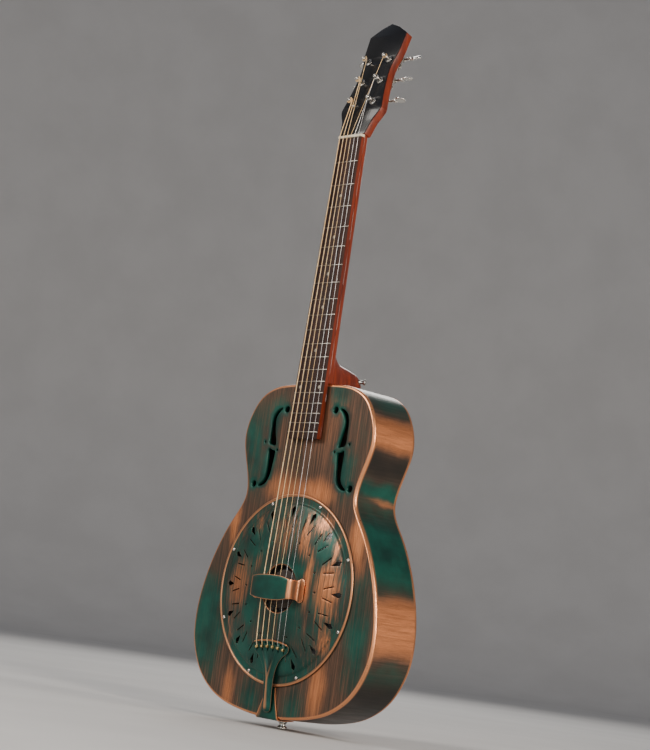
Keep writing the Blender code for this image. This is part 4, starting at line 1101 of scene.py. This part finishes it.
def field_points(holes):
    """Points over the domed field, on rings, that stay clear of the holes."""
    blocked = []
    for hole in holes:
        middle = sum((Vector(p) for p in hole), Vector((0, 0))) / len(hole)
        reach = max((Vector(p) - middle).length for p in hole) + 2.2 * MM
        blocked.append((middle, reach, outward(hole, 1.5 * MM)))
    spacing = 3 * MM
    rings = int((FIELD_R - CROWN_R) / spacing)
    for ring in range(1, rings):
        radius = CROWN_R + (FIELD_R - CROWN_R) * ring / rings
        count = int(2 * pi * radius / spacing)
        for k in range(count):
            angle = 2 * pi * (k + 0.5 * (ring % 2)) / count
            x, z = radius * sin(angle), CENTRE_Z + radius * cos(angle)
            near = [loop for middle, reach, loop in blocked if (Vector((x, z)) - middle).length < reach]
            if not any(inside(x, z, loop) for loop in near):
                yield x, z


def build_cover():
    holes = list(cover_holes())
    outer = circle(0, CENTRE_Z, FIELD_R, 240)
    crown = circle(0, CENTRE_Z, CROWN_R, 96)
    bm = bmesh.new()
    wear = bm.verts.layers.float.new("wear")
    starts = [outward(hole, STAMP_START) for hole in holes]
    rings = pierced_sheet(bm, outer, [crown] + starts, smooth_dome, list(field_points(holes)))
    for last, profile in ((rings[0], RIM), (rings[1], CENTRE_LIP)):
        for radius, rise, amount in profile:
            places = [(x, height(rise * MM), z) for x, z in circle(0, CENTRE_Z, radius * MM, len(last))]
            ring = worn_ring(bm, wear, places, amount)
            bridge(bm, last, ring)
            last = ring
    for ring, hole in zip(rings[2:], holes):
        rolled(bm, ring, hole, profile_mm(STAMP), smooth_dome, wear)
    cover = thickened(facing(made(bm)), COVER_THICK)
    show(cover, "domed_cover", "cover", "body_metal", "coverplate", sharp=50)

    for number in range(8):
        low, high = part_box(f"cover_screw_{number + 1}")
        x, z = (low.x + high.x) / 2, (low.z + high.z) / 2
        top = FRONT_Y - low.y
        point = FRONT_Y - high.y
        head = [(0, top), (1.2 * MM, top - 0.1 * MM), (2.1 * MM, top - 0.5 * MM), (2.6 * MM, top - 1.2 * MM),
                (2.6 * MM, top - 1.6 * MM), (1.3 * MM, top - 1.6 * MM), (1.3 * MM, point), (0, point)]
        screw = turned(head, 24, facing_front(x, z))
        turn = Matrix.Translation((x, height(top), z)) @ Matrix.Rotation(radians(35 * number), 4, "Y")
        for wide, tall in ((1.5, 0.28), (0.28, 1.5)):
            cut = box((-wide * MM, -1 * MM, -tall * MM), (wide * MM, 0.7 * MM, tall * MM), turn)
            screw = combined(screw, cut)
        show(screw, f"pan_head_{number + 1}", "nickel", "nickel", f"cover_screw_{number + 1}")


# --- hand rest ----------------------------------------------------------------------------------

# Half of the strip: distance from the middle, height, half its width, wear
HALF_REST = [(51, 13.7, 9, 0.7), (50, 13.8, 13.5, 0.4), (46, 13.85, 16, 0.1), (42.5, 13.9, 16, 0.2),
             (40.9, 14.6, 14.6, 0.8), (40, 17, 13.2, 0.6), (39.6, 20, 12.7, 0.3), (39.4, 25, 12.8, 0.5),
             (38.7, 28, 13.1, 0.7), (37.2, 30, 13.4, 0.85), (35.2, 30.8, 13.6, 0.5), (32.5, 31, 14.1, 0.0),
             (20, 31, 16.2, 0.0), (0, 31, 17, 0.0)]


def build_rest():
    half = mm(HALF_REST)
    strip = [Vector(p) for p in half] + [Vector((-p[0], *p[1:])) for p in reversed(half[:-1])]
    stations = smooth_line(strip, 150)
    columns = 48
    bm = bmesh.new()
    wear = bm.verts.layers.float.new("wear")
    rows = []
    for x, rise, wide, worn in stations:
        row = []
        for k in range(columns + 1):
            c = -1 + 2 * k / columns
            drop = 0.5 * MM * abs(c) ** 4 + 0.5 * MM * max(0, abs(c) - 0.86) / 0.14
            vert = bm.verts.new((x, height(rise - drop), CENTRE_Z + wide * c))
            edge = max(0, abs(c) - 0.93) / 0.07
            vert[wear] = min(0.9, max(worn / MM, edge))
            row.append(vert)
        rows.append(row)
    woven(bm, rows)
    rest = thickened(facing(made(bm)), REST_THICK)
    show(bevelled(rest, 0.4 * MM, 2, 60), "palm_rest", "rest", "body_metal", "hand_rest", sharp=60)


# --- tailpiece ----------------------------------------------------------------------------------

def tail_matrix():
    return Matrix.Translation((0, height(TAIL_HEIGHT), TAIL_Z)) @ Matrix.Rotation(TAIL_TILT, 4, "X")


def bump_over(x, middle, half):
    """Rounded rise from 0 at `half` away to 1 at the middle."""
    away = abs(x - middle) / half
    return max(0, 1 - away * away) ** 1.3


def tail_relief(x, z):
    """(relief in mm, wear) of the pressed plate: two ridges that meet in a tongue, and a lip on top."""
    x, z = x / MM, z / MM
    down = min(1, max(0, (-z - 14) / 38))
    apart = 11.5 * (1 - down) ** 1.25
    half = 4.4 - 0.9 * down + 2.9 * min(1, max(0, (-z - 50) / 36)) ** 1.5
    end = min(1, max(0, (z + 94.5) / 6)) ** 0.5
    fade = min(1, max(0, (-z - 9) / 8))
    ridge = max(bump_over(x, apart, half), bump_over(x, -apart, half)) * fade * end
    rise = ridge * (1.0 + 3.0 * down)
    lip = max(0, 1 - abs(z - edge_of_fan(x * MM) + 1.1) / 1.9) if z > -16 else 0
    crest = max(ridge ** 2 * (0.15 + 0.50 * down), lip)
    return max(rise, 1.4 * lip), crest


def edge_of_fan(x):
    """Height of the plate's top edge over x, in mm."""
    return 2.4 - 3.9 * (x / MM / 34) ** 2


def fan_slot(x, low, low_half, high, high_half, radius):
    """Slot round x with its low and high ends and its half widths in mm, counted down from the top edge."""
    edge = edge_of_fan(x) * MM
    corners = [(x - low_half * MM, edge - low * MM), (x + low_half * MM, edge - low * MM),
               (x + high_half * MM, edge - high * MM), (x - high_half * MM, edge - high * MM)]
    return rounded(corners, radius * MM)


def build_tail():
    outline = smooth_line(mirrored(mm(HALF_TAIL)), 220, closed=True)
    slots = [fan_slot(spread(TAIL_SPREAD, index), 15.5, 1.3, 11.2, 0.9, 0.7) for index in range(STRINGS)]
    for index in range(STRINGS + 1):
        slots.append(fan_slot(spread(TAIL_SPREAD, index - 0.5) * 0.97, 6.2, 1.9, 3.2, 1.9, 0.9))
    spots = [(x * TAIL_GRID, z * TAIL_GRID) for x in range(-30, 31) for z in range(-74, 3)]
    spots = outside_all(spots, outward(outline, -TAIL_GRID), [outward(slot, 0.9 * MM) for slot in slots])
    bm = bmesh.new()
    wear = bm.verts.layers.float.new("wear")
    rings = pierced_sheet(bm, outward(outline, -0.7 * MM), slots, flat_level, spots)
    bridge(bm, rings[0], worn_ring(bm, wear, [(x, FRONT_Y + 0.45 * MM, z) for x, z in outline], 0.55))
    for vert in bm.verts:
        relief, crest = tail_relief(vert.co.x, vert.co.z)
        vert.co.y -= FRONT_Y + relief * MM
        vert[wear] = max(vert[wear], crest)
    tail = facing(made(bm))
    tail.data.transform(tail_matrix())
    show(thickened(tail, TAIL_THICK), "pressed_tailpiece", "tail", "body_metal", "tailpiece", sharp=50)


def build_strap():
    low = BODY_LOW_Z - GAP
    front = height(GAP)
    path = [(front, CENTRE_Z - 132.6 * MM, 9.5 * MM), (front, CENTRE_Z - 141 * MM, 10.5 * MM),
            (front, CENTRE_Z - 150 * MM, 13 * MM), (front, CENTRE_Z - 162 * MM, 17.4 * MM),
            (front, low + STRAP_BEND_R, 21.4 * MM)]
    for k in range(1, 6):
        angle = pi / 2 * k / 5
        path.append((front + STRAP_BEND_R * (1 - cos(angle)), low + STRAP_BEND_R * (1 - sin(angle)),
                     22.2 * MM))
    path += [(-12 * MM, low, 20 * MM), (0, low, 15.5 * MM), (9 * MM, low, 12 * MM)]
    columns = 16
    bm = bmesh.new()
    wear = bm.verts.layers.float.new("wear")
    rows = []
    for y, z, half in path:
        row = []
        for k in range(columns + 1):
            c = -1 + 2 * k / columns
            vert = bm.verts.new((half * c, y, z))
            vert[wear] = 1.0 if abs(c) > 0.93 else 0.3 if abs(c) > 0.8 else 0.0
            row.append(vert)
        rows.append(row)
    woven(bm, rows)
    strap = bevelled(combined(thickened(facing(made(bm)), STRAP_THICK, 1), pin_hole()), 0.3 * MM, 2, 60)
    show(strap, "tail_strap", "tail", "body_metal", "tailpiece_strap")


def build_end_pin():
    top = BODY_LOW_Z - GAP - SHEET - GAP
    shank = mm([(0, 33), (2.6, 33)])
    collar = [(3.4 * MM, top), (6.4 * MM, top), (6.4 * MM, top - 1.6 * MM), (4.4 * MM, top - 3.4 * MM)]
    knob = mm([(4.4, 5.2), (7, 3.6), (7, 1.4), (5.4, 0), (0, 0)])
    pin = softened(shank + collar + knob, 0.7 * MM)
    show(turned(pin, 48), "turned_end_pin", "nickel", "nickel", "end_pin")


# --- neck ---------------------------------------------------------------------------------------

def neck_section(z, half, depth, steps=28):
    top = board_y(z) + BOARD_TO_NECK
    side = 2.5 * MM
    ring = [(-half, top, z), (half, top, z)]
    for k in range(steps + 1):
        angle = pi * k / steps
        ring.append((half * cos(angle), top + side + (depth - side) * sin(angle) ** 0.85, z))
    return ring


def heel_section(y, half, peak, steps=28):
    ring = []
    for k in range(steps + 1):
        angle = pi * k / steps
        ring.append((half * cos(angle), y, HEEL_Z + (peak - HEEL_Z) * sin(angle) ** 0.75))
    return ring


def head_matrix():
    return Matrix.Translation((0, HEAD_Y, HEAD_Z)) @ Matrix.Rotation(-HEAD_TILT, 4, "X")


def head_outline():
    return mirrored([tuple(p) for p in smooth_line(mm(HALF_HEAD), 60)] + mm(HEAD_PEAK))


def post_places():
    rows = mm(POSTS) + mm(reversed(POSTS))
    for index, (x, up) in enumerate(rows):
        side = -1 if index < len(POSTS) else 1
        yield index + 1, side, side * x, up


def smoothed_mesh(obj, rounds, keep):
    """Evens the mesh out by moving each vertex towards its neighbours, except where `keep` says so."""
    bm = bmesh.new()
    bm.from_mesh(obj.data)
    loose = [vert for vert in bm.verts if not keep(vert.co)]
    for _ in range(rounds):
        bmesh.ops.smooth_vert(bm, verts=loose, factor=0.5, use_axis_x=True, use_axis_y=True,
                              use_axis_z=True)
    bm.to_mesh(obj.data)
    bm.free()
    return obj


def build_neck():
    stations = smooth_line(SHAFT, 60)
    neck = loft([neck_section(z * MM, board_half(z * MM) - GAP, depth * MM) for z, depth in stations])
    heel = loft([heel_section(*(v * MM for v in cut)) for cut in smooth_line(HEEL, 40)])
    neck = combined(neck, heel, "UNION")
    rings = []
    for z in (HEEL_Z + 8 * MM, BOARD_LOW_Z + 1 * MM):
        half = board_half(z) - 1 * MM
        top = board_y(z) + BOARD_TO_NECK
        rings.append([(-half, top, z), (half, top, z), (half, FRONT_Y - GAP, z), (-half, FRONT_Y - GAP, z)])
    neck = combined(neck, loft(rings), "UNION")
    remesh = neck.modifiers.new("Even", "REMESH")
    remesh.mode = "VOXEL"
    remesh.voxel_size = 1.1 * MM
    neck = applied(neck)
    neck = smoothed_mesh(neck, 14, lambda co: co.y < board_y(co.z) + BOARD_TO_NECK + 1.6 * MM
                         or co.z < HEEL_Z + 1.5 * MM or co.z > 834 * MM)
    wood_thick = HEAD_THICK - VENEER - GAP
    place = laid(head_matrix(), HEAD_THICK - wood_thick / 2)
    head = bevelled(prism([head_outline()], wood_thick, place), 0.9 * MM, 3)
    neck = combined(neck, head, "UNION")
    for _, _, x, up in post_places():
        place = head_matrix() @ Matrix.Translation((x, 0, up)) @ BACKWARDS
        neck = combined(neck, rod(POST_HOLE_R, 20 * MM, -20 * MM, 24, place))
    aim = Matrix.Translation(BUTTON_BASE) @ BUTTON_AIM.to_track_quat("Z", "Y").to_matrix().to_4x4()
    neck = combined(neck, rod(4.7 * MM, 20 * MM, 0, 32, aim))
    show(neck, "carved_neck", "mahogany", "mahogany", "neck", sharp=45)

    button = softened(mm([(0, 10), (3, 10), (4.4, 9), (4.4, 7.4), (2.7, 5.6), (2.7, 2.2), (4, 0.3),
                          (1.7, 0.3), (1.7, -8), (0, -8)]), 0.6 * MM)
    show(turned(button, 40, aim), "strap_button", "nickel", "nickel", "heel_button")

    holes = [circle(x, up, POST_HOLE_R, 32) for _, _, x, up in post_places()]
    veneer = prism([head_outline()] + holes, VENEER, laid(head_matrix(), VENEER / 2))
    show(bevelled(veneer, 0.4 * MM), "black_face", "black", "black_lacquer", "headstock_veneer")


def build_board():
    low = -(NUT_Z - BOARD_LOW_Z) / cos(NECK_TILT)
    half_low = board_half(BOARD_LOW_Z)
    lean = Matrix.Translation((0, NUT_SURFACE_Y, NUT_Z)) @ Matrix.Rotation(-NECK_TILT, 4, "X")
    middle = laid(lean, BOARD_THICK / 2)
    outline = [(-half_low, low), (half_low, low), (NUT_HALF, 0), (-NUT_HALF, 0)]
    board = prism([outline], BOARD_THICK, middle)
    show(bevelled(board, 0.5 * MM, 3), "rosewood_board", "rosewood", "rosewood", "fretboard")
    edges = []
    for side in (-1, 1):
        corners = [(side * half_low, low), (side * NUT_HALF, 0), (side * (NUT_HALF + EDGE_STAIN), 0),
                   (side * (half_low + EDGE_STAIN), low)]
        edges.append(prism([corners], BOARD_THICK - 1.1 * MM, middle))
    show(joined(edges), "stained_board_edges", "mahogany", "mahogany")

    wires = []
    for number in range(1, FRETS + 1):
        down = fret_down(number)
        half = board_half(NUT_Z + down) - 0.15 * MM
        sections = []
        for x, share in ((-half, 0.15), (-half + 0.45 * MM, 0.75), (-half + 1.1 * MM, 1),
                         (half - 1.1 * MM, 1), (half - 0.45 * MM, 0.75), (half, 0.15)):
            ring = [(x, 0.8 * MM, down + FRET_HALF), (x, 0.8 * MM, down - FRET_HALF)]
            for k in range(9):
                angle = pi * k / 8
                ring.append((x, -FRET_HIGH * share * sin(angle), down - FRET_HALF * cos(angle)))
            sections.append(ring)
        wires.append(loft(sections, lean))
    show(joined(wires), "fret_wires", "fret", "nickel")

    dots = []
    for number in DOT_FRETS:
        down = (fret_down(number) + fret_down(number - 1)) / 2
        for x in ((-DOT_APART, DOT_APART) if number == PAIRED_DOTS else (0,)):
            dots.append(turned(mm([(0, 0.1), (2.1, 0.1), (2.4, 0), (2.4, -0.8), (0, -0.8)]), 28,
                               lean @ Matrix.Translation((x, 0, down)) @ STANDING))
    show(joined(dots), "dot_inlays", "pearl", "bone")


def build_nut():
    thick = NUT_HIGH.z - NUT_LOW.z
    top = NUT_SURFACE_Y - NUT_TOP
    sections = []
    for k in range(97):
        x = NUT_HALF * (-1 + 2 * k / 96)
        notch = 0.0
        for index, diameter in enumerate(STRING_DIAMETERS):
            if abs(x - spread(NUT_SPREAD, index)) < diameter * 0.65:
                notch = 0.42 * MM
        ends = 0.5 * MM * max(0, abs(x) / NUT_HALF - 0.96) / 0.04
        ring = [(x, NUT_SURFACE_Y + BOARD_THICK, NUT_LOW.z), (x, top + 0.9 * MM, NUT_LOW.z)]
        for step in range(9):
            angle = pi * step / 8
            rise = 0.9 * MM * sin(angle) - notch - ends - 0.5 * MM * step / 8
            ring.append((x, top + 0.9 * MM - rise, NUT_LOW.z + thick / 2 * (1 - cos(angle))))
        ring.append((x, NUT_SURFACE_Y + BOARD_THICK, NUT_HIGH.z))
        sections.append(ring)
    show(loft(sections), "slotted_nut", "bone", "bone", "nut")


def fret_down(number):
    return -SCALE * (1 - 2 ** (-number / 12)) if number else 0.0


# --- tuners -------------------------------------------------------------------------------------

def shaft_turn(side):
    """Turns +Z outwards along X and -Y towards the gear, which is below the shaft."""
    return Matrix(((0, 0, side, 0), (side, 0, 0, 0), (0, 1, 0, 0), (0, 0, 0, 1)))


def gear_outline():
    outline = []
    for tooth in range(GEAR_TEETH):
        middle = pi / 2 + (tooth + 0.5) * 2 * pi / GEAR_TEETH
        for out, half in ((-1, -0.85), (-0.2, -0.62), (0.8, -0.3), (0.8, 0.3), (-0.2, 0.62), (-1, 0.85)):
            radius = GEAR_R + out * MM
            angle = middle + half * MM / radius
            outline.append((radius * cos(angle), radius * sin(angle)))
    return outline


def worm_thread(matrix):
    steps = 20
    total = int(WORM_TURNS * steps)
    sections = []
    for k in range(total + 1):
        turn = 2 * pi * (k - total / 2) / steps
        taper = min(1, k / 6 + 0.25, (total - k) / 6 + 0.25)
        crest = 2.1 * MM + 2.0 * MM * taper
        angle = turn - pi / 2
        z = WORM_LEAD * turn / (2 * pi)
        sections.append([(r * cos(angle), r * sin(angle), z + dz * MM) for r, dz in
                         ((2.1 * MM, -0.8), (crest, -0.25), (crest, 0.25), (2.1 * MM, 0.8))])
    return loft(sections, matrix)


def build_tuners():
    for index, side, x, up in post_places():
        head = head_matrix() @ Matrix.Translation((x, 0, up))
        outwards = head @ BACKWARDS
        worm_place = head @ Matrix.Translation((0, WORM_Y, WORM_OFFSET)) @ shaft_turn(side)

        top = WORM_OFFSET / MM + 6
        corners = [(-8.5, -9.5), (8.5, -9.5), (8.5, top), (-8.5, top)]
        outline = rounded(mm(corners), 2.2 * MM, 5)
        place = laid(head, PLATE_Y + PLATE_THICK / 2)
        plate = prism([outline, circle(0, 0, 3.5 * MM, 28)], PLATE_THICK, place)
        for low in (-EAR_X - EAR_THICK, EAR_X):
            ear = rounded([(-4, 0.2), (4, 0.2), (4, 6.5), (1.9, 8.8), (-1.9, 8.8), (-4, 6.5)], 1.0, 3)
            shape = [(WORM_OFFSET + a * MM, PLATE_Y + b * MM) for a, b in ear]
            upright = Matrix(((0, 0, 1, low + EAR_THICK / 2), (0, 1, 0, 0), (1, 0, 0, 0), (0, 0, 0, 1)))
            hole = circle(WORM_OFFSET, WORM_Y, 2.3 * MM, 20)
            plate = combined(plate, prism([shape, hole], EAR_THICK, head @ upright), "UNION")
        show(bevelled(plate, 0.2 * MM, 2, 50), f"geared_plate_{index}", "nickel", "nickel",
             f"tuner_plate_{index}")
        screws = []
        upper = WORM_OFFSET / MM + 4.2
        for sx, sz in ((-6.2, -7), (6.2, -7), (-6.2, upper), (6.2, upper)):
            spot = head @ Matrix.Translation((sx * MM, PLATE_Y + PLATE_THICK, sz * MM))
            screw = turned(softened(mm(PLATE_SCREW), 0.25 * MM), 20, spot @ BACKWARDS)
            slot = box((-0.22 * MM, 0.55 * MM, -2.5 * MM), (0.22 * MM, 2 * MM, 2.5 * MM),
                       spot @ Matrix.Rotation(radians(40 * sx + 15 * index), 4, "Y"))
            screws.append(combined(screw, slot))
        show(joined(screws), f"plate_screws_{index}", "nickel", "nickel")

        waist = POST_R - 0.35 * MM
        profile = [(0, POST_END), (POST_R, POST_END), (POST_R, -6.8 * MM), (waist, -7.8 * MM),
                   (waist, -11.9 * MM), (POST_R, -12.7 * MM), (POST_R - 0.5 * MM, -POST_TOP),
                   (1.2 * MM, -POST_TOP), (0.9 * MM, -POST_TOP + 0.5 * MM), (0, -POST_TOP + 0.6 * MM)]
        post = turned(softened(profile, 0.25 * MM), 32, outwards)
        gear = prism([gear_outline()], GEAR_THICK, laid(head, WORM_Y))
        post = combined(post, gear, "UNION")
        across = head @ Matrix.Translation((0, -10.6 * MM, 0)) @ Matrix.Rotation(pi / 2, 4, "Y")
        post = combined(post, rod(0.9 * MM, 5 * MM, -5 * MM, 16, across))
        slot = box((-0.4 * MM, POST_END - 0.7 * MM, -4 * MM), (0.4 * MM, POST_END + 1 * MM, 4 * MM),
                   head @ Matrix.Rotation(radians(30 * index), 4, "Y"))
        post = combined(post, slot)
        show(bevelled(post, 0.12 * MM, 1, 50), f"geared_post_{index}", "nickel", "nickel",
             f"tuner_post_{index}", body=f"post_{index}")

        ferrule = turned(softened(mm(FERRULE), 0.3 * MM), 40, head @ STANDING)
        show(ferrule, f"pressed_ferrule_{index}", "nickel", "nickel", f"tuner_ferrule_{index}")

        shaft = turned(softened(mm(SHAFT_PROFILE), 0.35 * MM), 28, worm_place)
        shaft = combined(shaft, worm_thread(worm_place), "UNION")
        shaft = combined(shaft, bean(index, worm_place), "UNION")
        show(shaft, f"button_and_worm_{index}", "nickel", "nickel", f"tuner_button_{index}",
             body=f"button_{index}", sharp=50)


def bean(index, place):
    """Flattened oval button, slightly waisted across its faces."""
    bm = bmesh.new()
    bmesh.ops.create_uvsphere(bm, u_segments=40, v_segments=24, radius=1)
    for vert in bm.verts:
        x, y, z = vert.co
        flat = 1 - 0.16 * (1 - min(1, hypot(x, z))) ** 0.5
        vert.co = (x * (1 + 0.06 * z * z), y * flat * (0.72 + 0.28 * (x * x + z * z)), z)
    turn = Matrix.Rotation(radians(BEAN_TURNS[index - 1]), 4, "Z")
    size = Matrix.Diagonal((*(v * MM for v in BEAN), 1))
    return made(bm, place @ (Matrix.Translation((0, 0, BEAN_CENTRE * MM)) @ turn @ size))


# --- strings ------------------------------------------------------------------------------------

def string_route(index, diameter):
    """Ball end, tailpiece edge, saddle, nut, then the turns on the post."""
    radius = diameter / 2
    clear = GAP + radius
    tail = tail_matrix()
    x_tail = spread(TAIL_SPREAD, index)
    x_saddle = spread(SADDLE_SPREAD, index)
    x_nut = spread(NUT_SPREAD, index)
    edge = edge_of_fan(x_tail) * MM
    points = []
    for lift, below in ((0.1, 9), (0.5, 5), (1.35, 1.8), (1.45, 0.4)):
        points.append(tail @ Vector((x_tail, -clear - lift * MM, edge - below * MM)))
    drop = SADDLE_CROWN * (x_saddle / SADDLE_HALF) ** 2
    over_saddle = SADDLE_LOW.y + drop - radius - 0.05 * MM
    for z in (SADDLE_LOW.z, SADDLE_Z, SADDLE_HIGH.z):
        points.append(Vector((x_saddle, over_saddle, z)))
    nut_y = NUT_SURFACE_Y - NUT_TOP - radius + 0.1 * MM
    for z in (NUT_LOW.z + 0.3 * MM, (NUT_LOW.z + NUT_HIGH.z) / 2, NUT_HIGH.z - 0.3 * MM):
        points.append(Vector((x_nut, nut_y, z)))
    head = head_matrix()
    _, side, x, up = list(post_places())[index]
    wrap = POST_R + radius
    from_nut = head.inverted() @ points[-1] - Vector((x, 0, up))
    reach = hypot(from_nut.x, from_nut.z)
    start = atan2(from_nut.z, from_nut.x) - side * acos(wrap / reach)
    for k in range(WIND_TURNS * WIND_STEPS + 1):
        turn = k / WIND_STEPS
        angle = start - side * 2 * pi * turn
        rise = WIND_LOW + diameter * 1.06 * turn
        wound = Vector((x + wrap * cos(angle), -rise, up + wrap * sin(angle)))
        points.append(head @ wound)
    around = Vector((-sin(angle), 0, cos(angle))) * -side
    points.append(head @ (wound + around * 3.2 * MM + Vector((0, -0.8 * MM, 0))))
    return points


def build_strings():
    for index, diameter in enumerate(STRING_DIAMETERS):
        look, slot = ("bronze", "wound_bronze") if index < WOUND else ("plain", "steel")
        string = tube(string_route(index, diameter), diameter / 2, 14)
        show(string, f"tuned_string_{index + 1}", look, slot, f"string_{index + 1}", sharp=60)
        x = spread(TAIL_SPREAD, index)
        sink = edge_of_fan(x) * MM - 9.6 * MM
        ring = softened(mm([(0.8, 1.6), (2.05, 1.6), (2.05, -1.6), (0.8, -1.6)]), 0.3 * MM)
        place = tail_matrix() @ Matrix.Translation((x, -0.9 * MM, sink)) @ Matrix.Rotation(pi / 2, 4, "Y")
        show(turned(ring, 28, place), f"ball_end_{index + 1}", "brass", "wound_bronze")


# --- stage, light and camera --------------------------------------------------------------------

def build_stage():
    profile = [(0, 0), (5.5, 0)]
    for k in range(1, 17):
        angle = pi / 2 * k / 16
        profile.append((5.5 + 1.5 * sin(angle), 1.5 * (1 - cos(angle))))
    profile.append((7.0, 6.0))
    ground = turned(profile, 96, closed=False)
    ground.name = "ground"
    ground.data.materials.append(LOOKS["ground"])
    ground.data.shade_smooth()

    world = bpy.data.worlds.new("Room")
    bpy.context.scene.world = world
    world.use_nodes = True
    world.node_tree.nodes["Background"].inputs["Color"].default_value = (0.80, 0.86, 1.0, 1)
    world.node_tree.nodes["Background"].inputs["Strength"].default_value = 0.24
    aim = Vector((0, 0, 0.42))
    for name, place, size, power, colour in (
            ("key", (-1.5, -2.9, 2.0), (1.4, 1.6), 92, (1.0, 0.95, 0.88)),
            ("side", (3.1, 0.7, 0.8), (0.6, 2.0), 62, (1.0, 0.88, 0.76)),
            ("raking", (3.0, -1.0, 1.3), (0.5, 1.4), 70, (1.0, 0.90, 0.80)),
            ("fill", (1.2, -3.4, 0.6), (2.2, 1.2), 22, (0.86, 0.93, 1.0)),
            ("rim", (-2.2, 2.2, 2.2), (1.4, 1.4), 40, (1.0, 0.97, 0.92))):
        lamp = bpy.data.lights.new(name, "AREA")
        lamp.shape = "RECTANGLE"
        lamp.size, lamp.size_y = size
        lamp.energy = power
        lamp.color = colour
        obj = bpy.data.objects.new(name, lamp)
        bpy.context.scene.collection.objects.link(obj)
        obj.location = place
        obj.rotation_euler = (aim - Vector(place)).to_track_quat("-Z", "Y").to_euler()


def build_camera():
    camera = bpy.data.objects.new("camera", bpy.data.cameras.new("camera"))
    bpy.context.scene.collection.objects.link(camera)
    forward = Vector((-0.724, 0.676, 0.137)).normalized()
    up = Vector((0.003, -0.196, 0.981))
    up = (up - forward * up.dot(forward)).normalized()
    right = forward.cross(up)
    turn = Matrix((right, up, -forward)).transposed().to_4x4()
    camera.matrix_world = Matrix.Translation((1.940, -1.818, 0.1246)) @ turn
    camera.data.lens = 92.17
    camera.data.sensor_width = 36
    camera.data.shift_x = -0.0048
    camera.data.shift_y = -0.0003
    camera.data.clip_start = 0.05
    camera.data.clip_end = 60
    bpy.context.scene.camera = camera


make_looks()
build_camera()
build_stage()
build_top()
build_back()
build_sides()
build_inside()
build_cover()
build_rest()
build_tail()
build_strap()
build_end_pin()
build_neck()
build_board()
build_nut()
build_tuners()
build_strings()
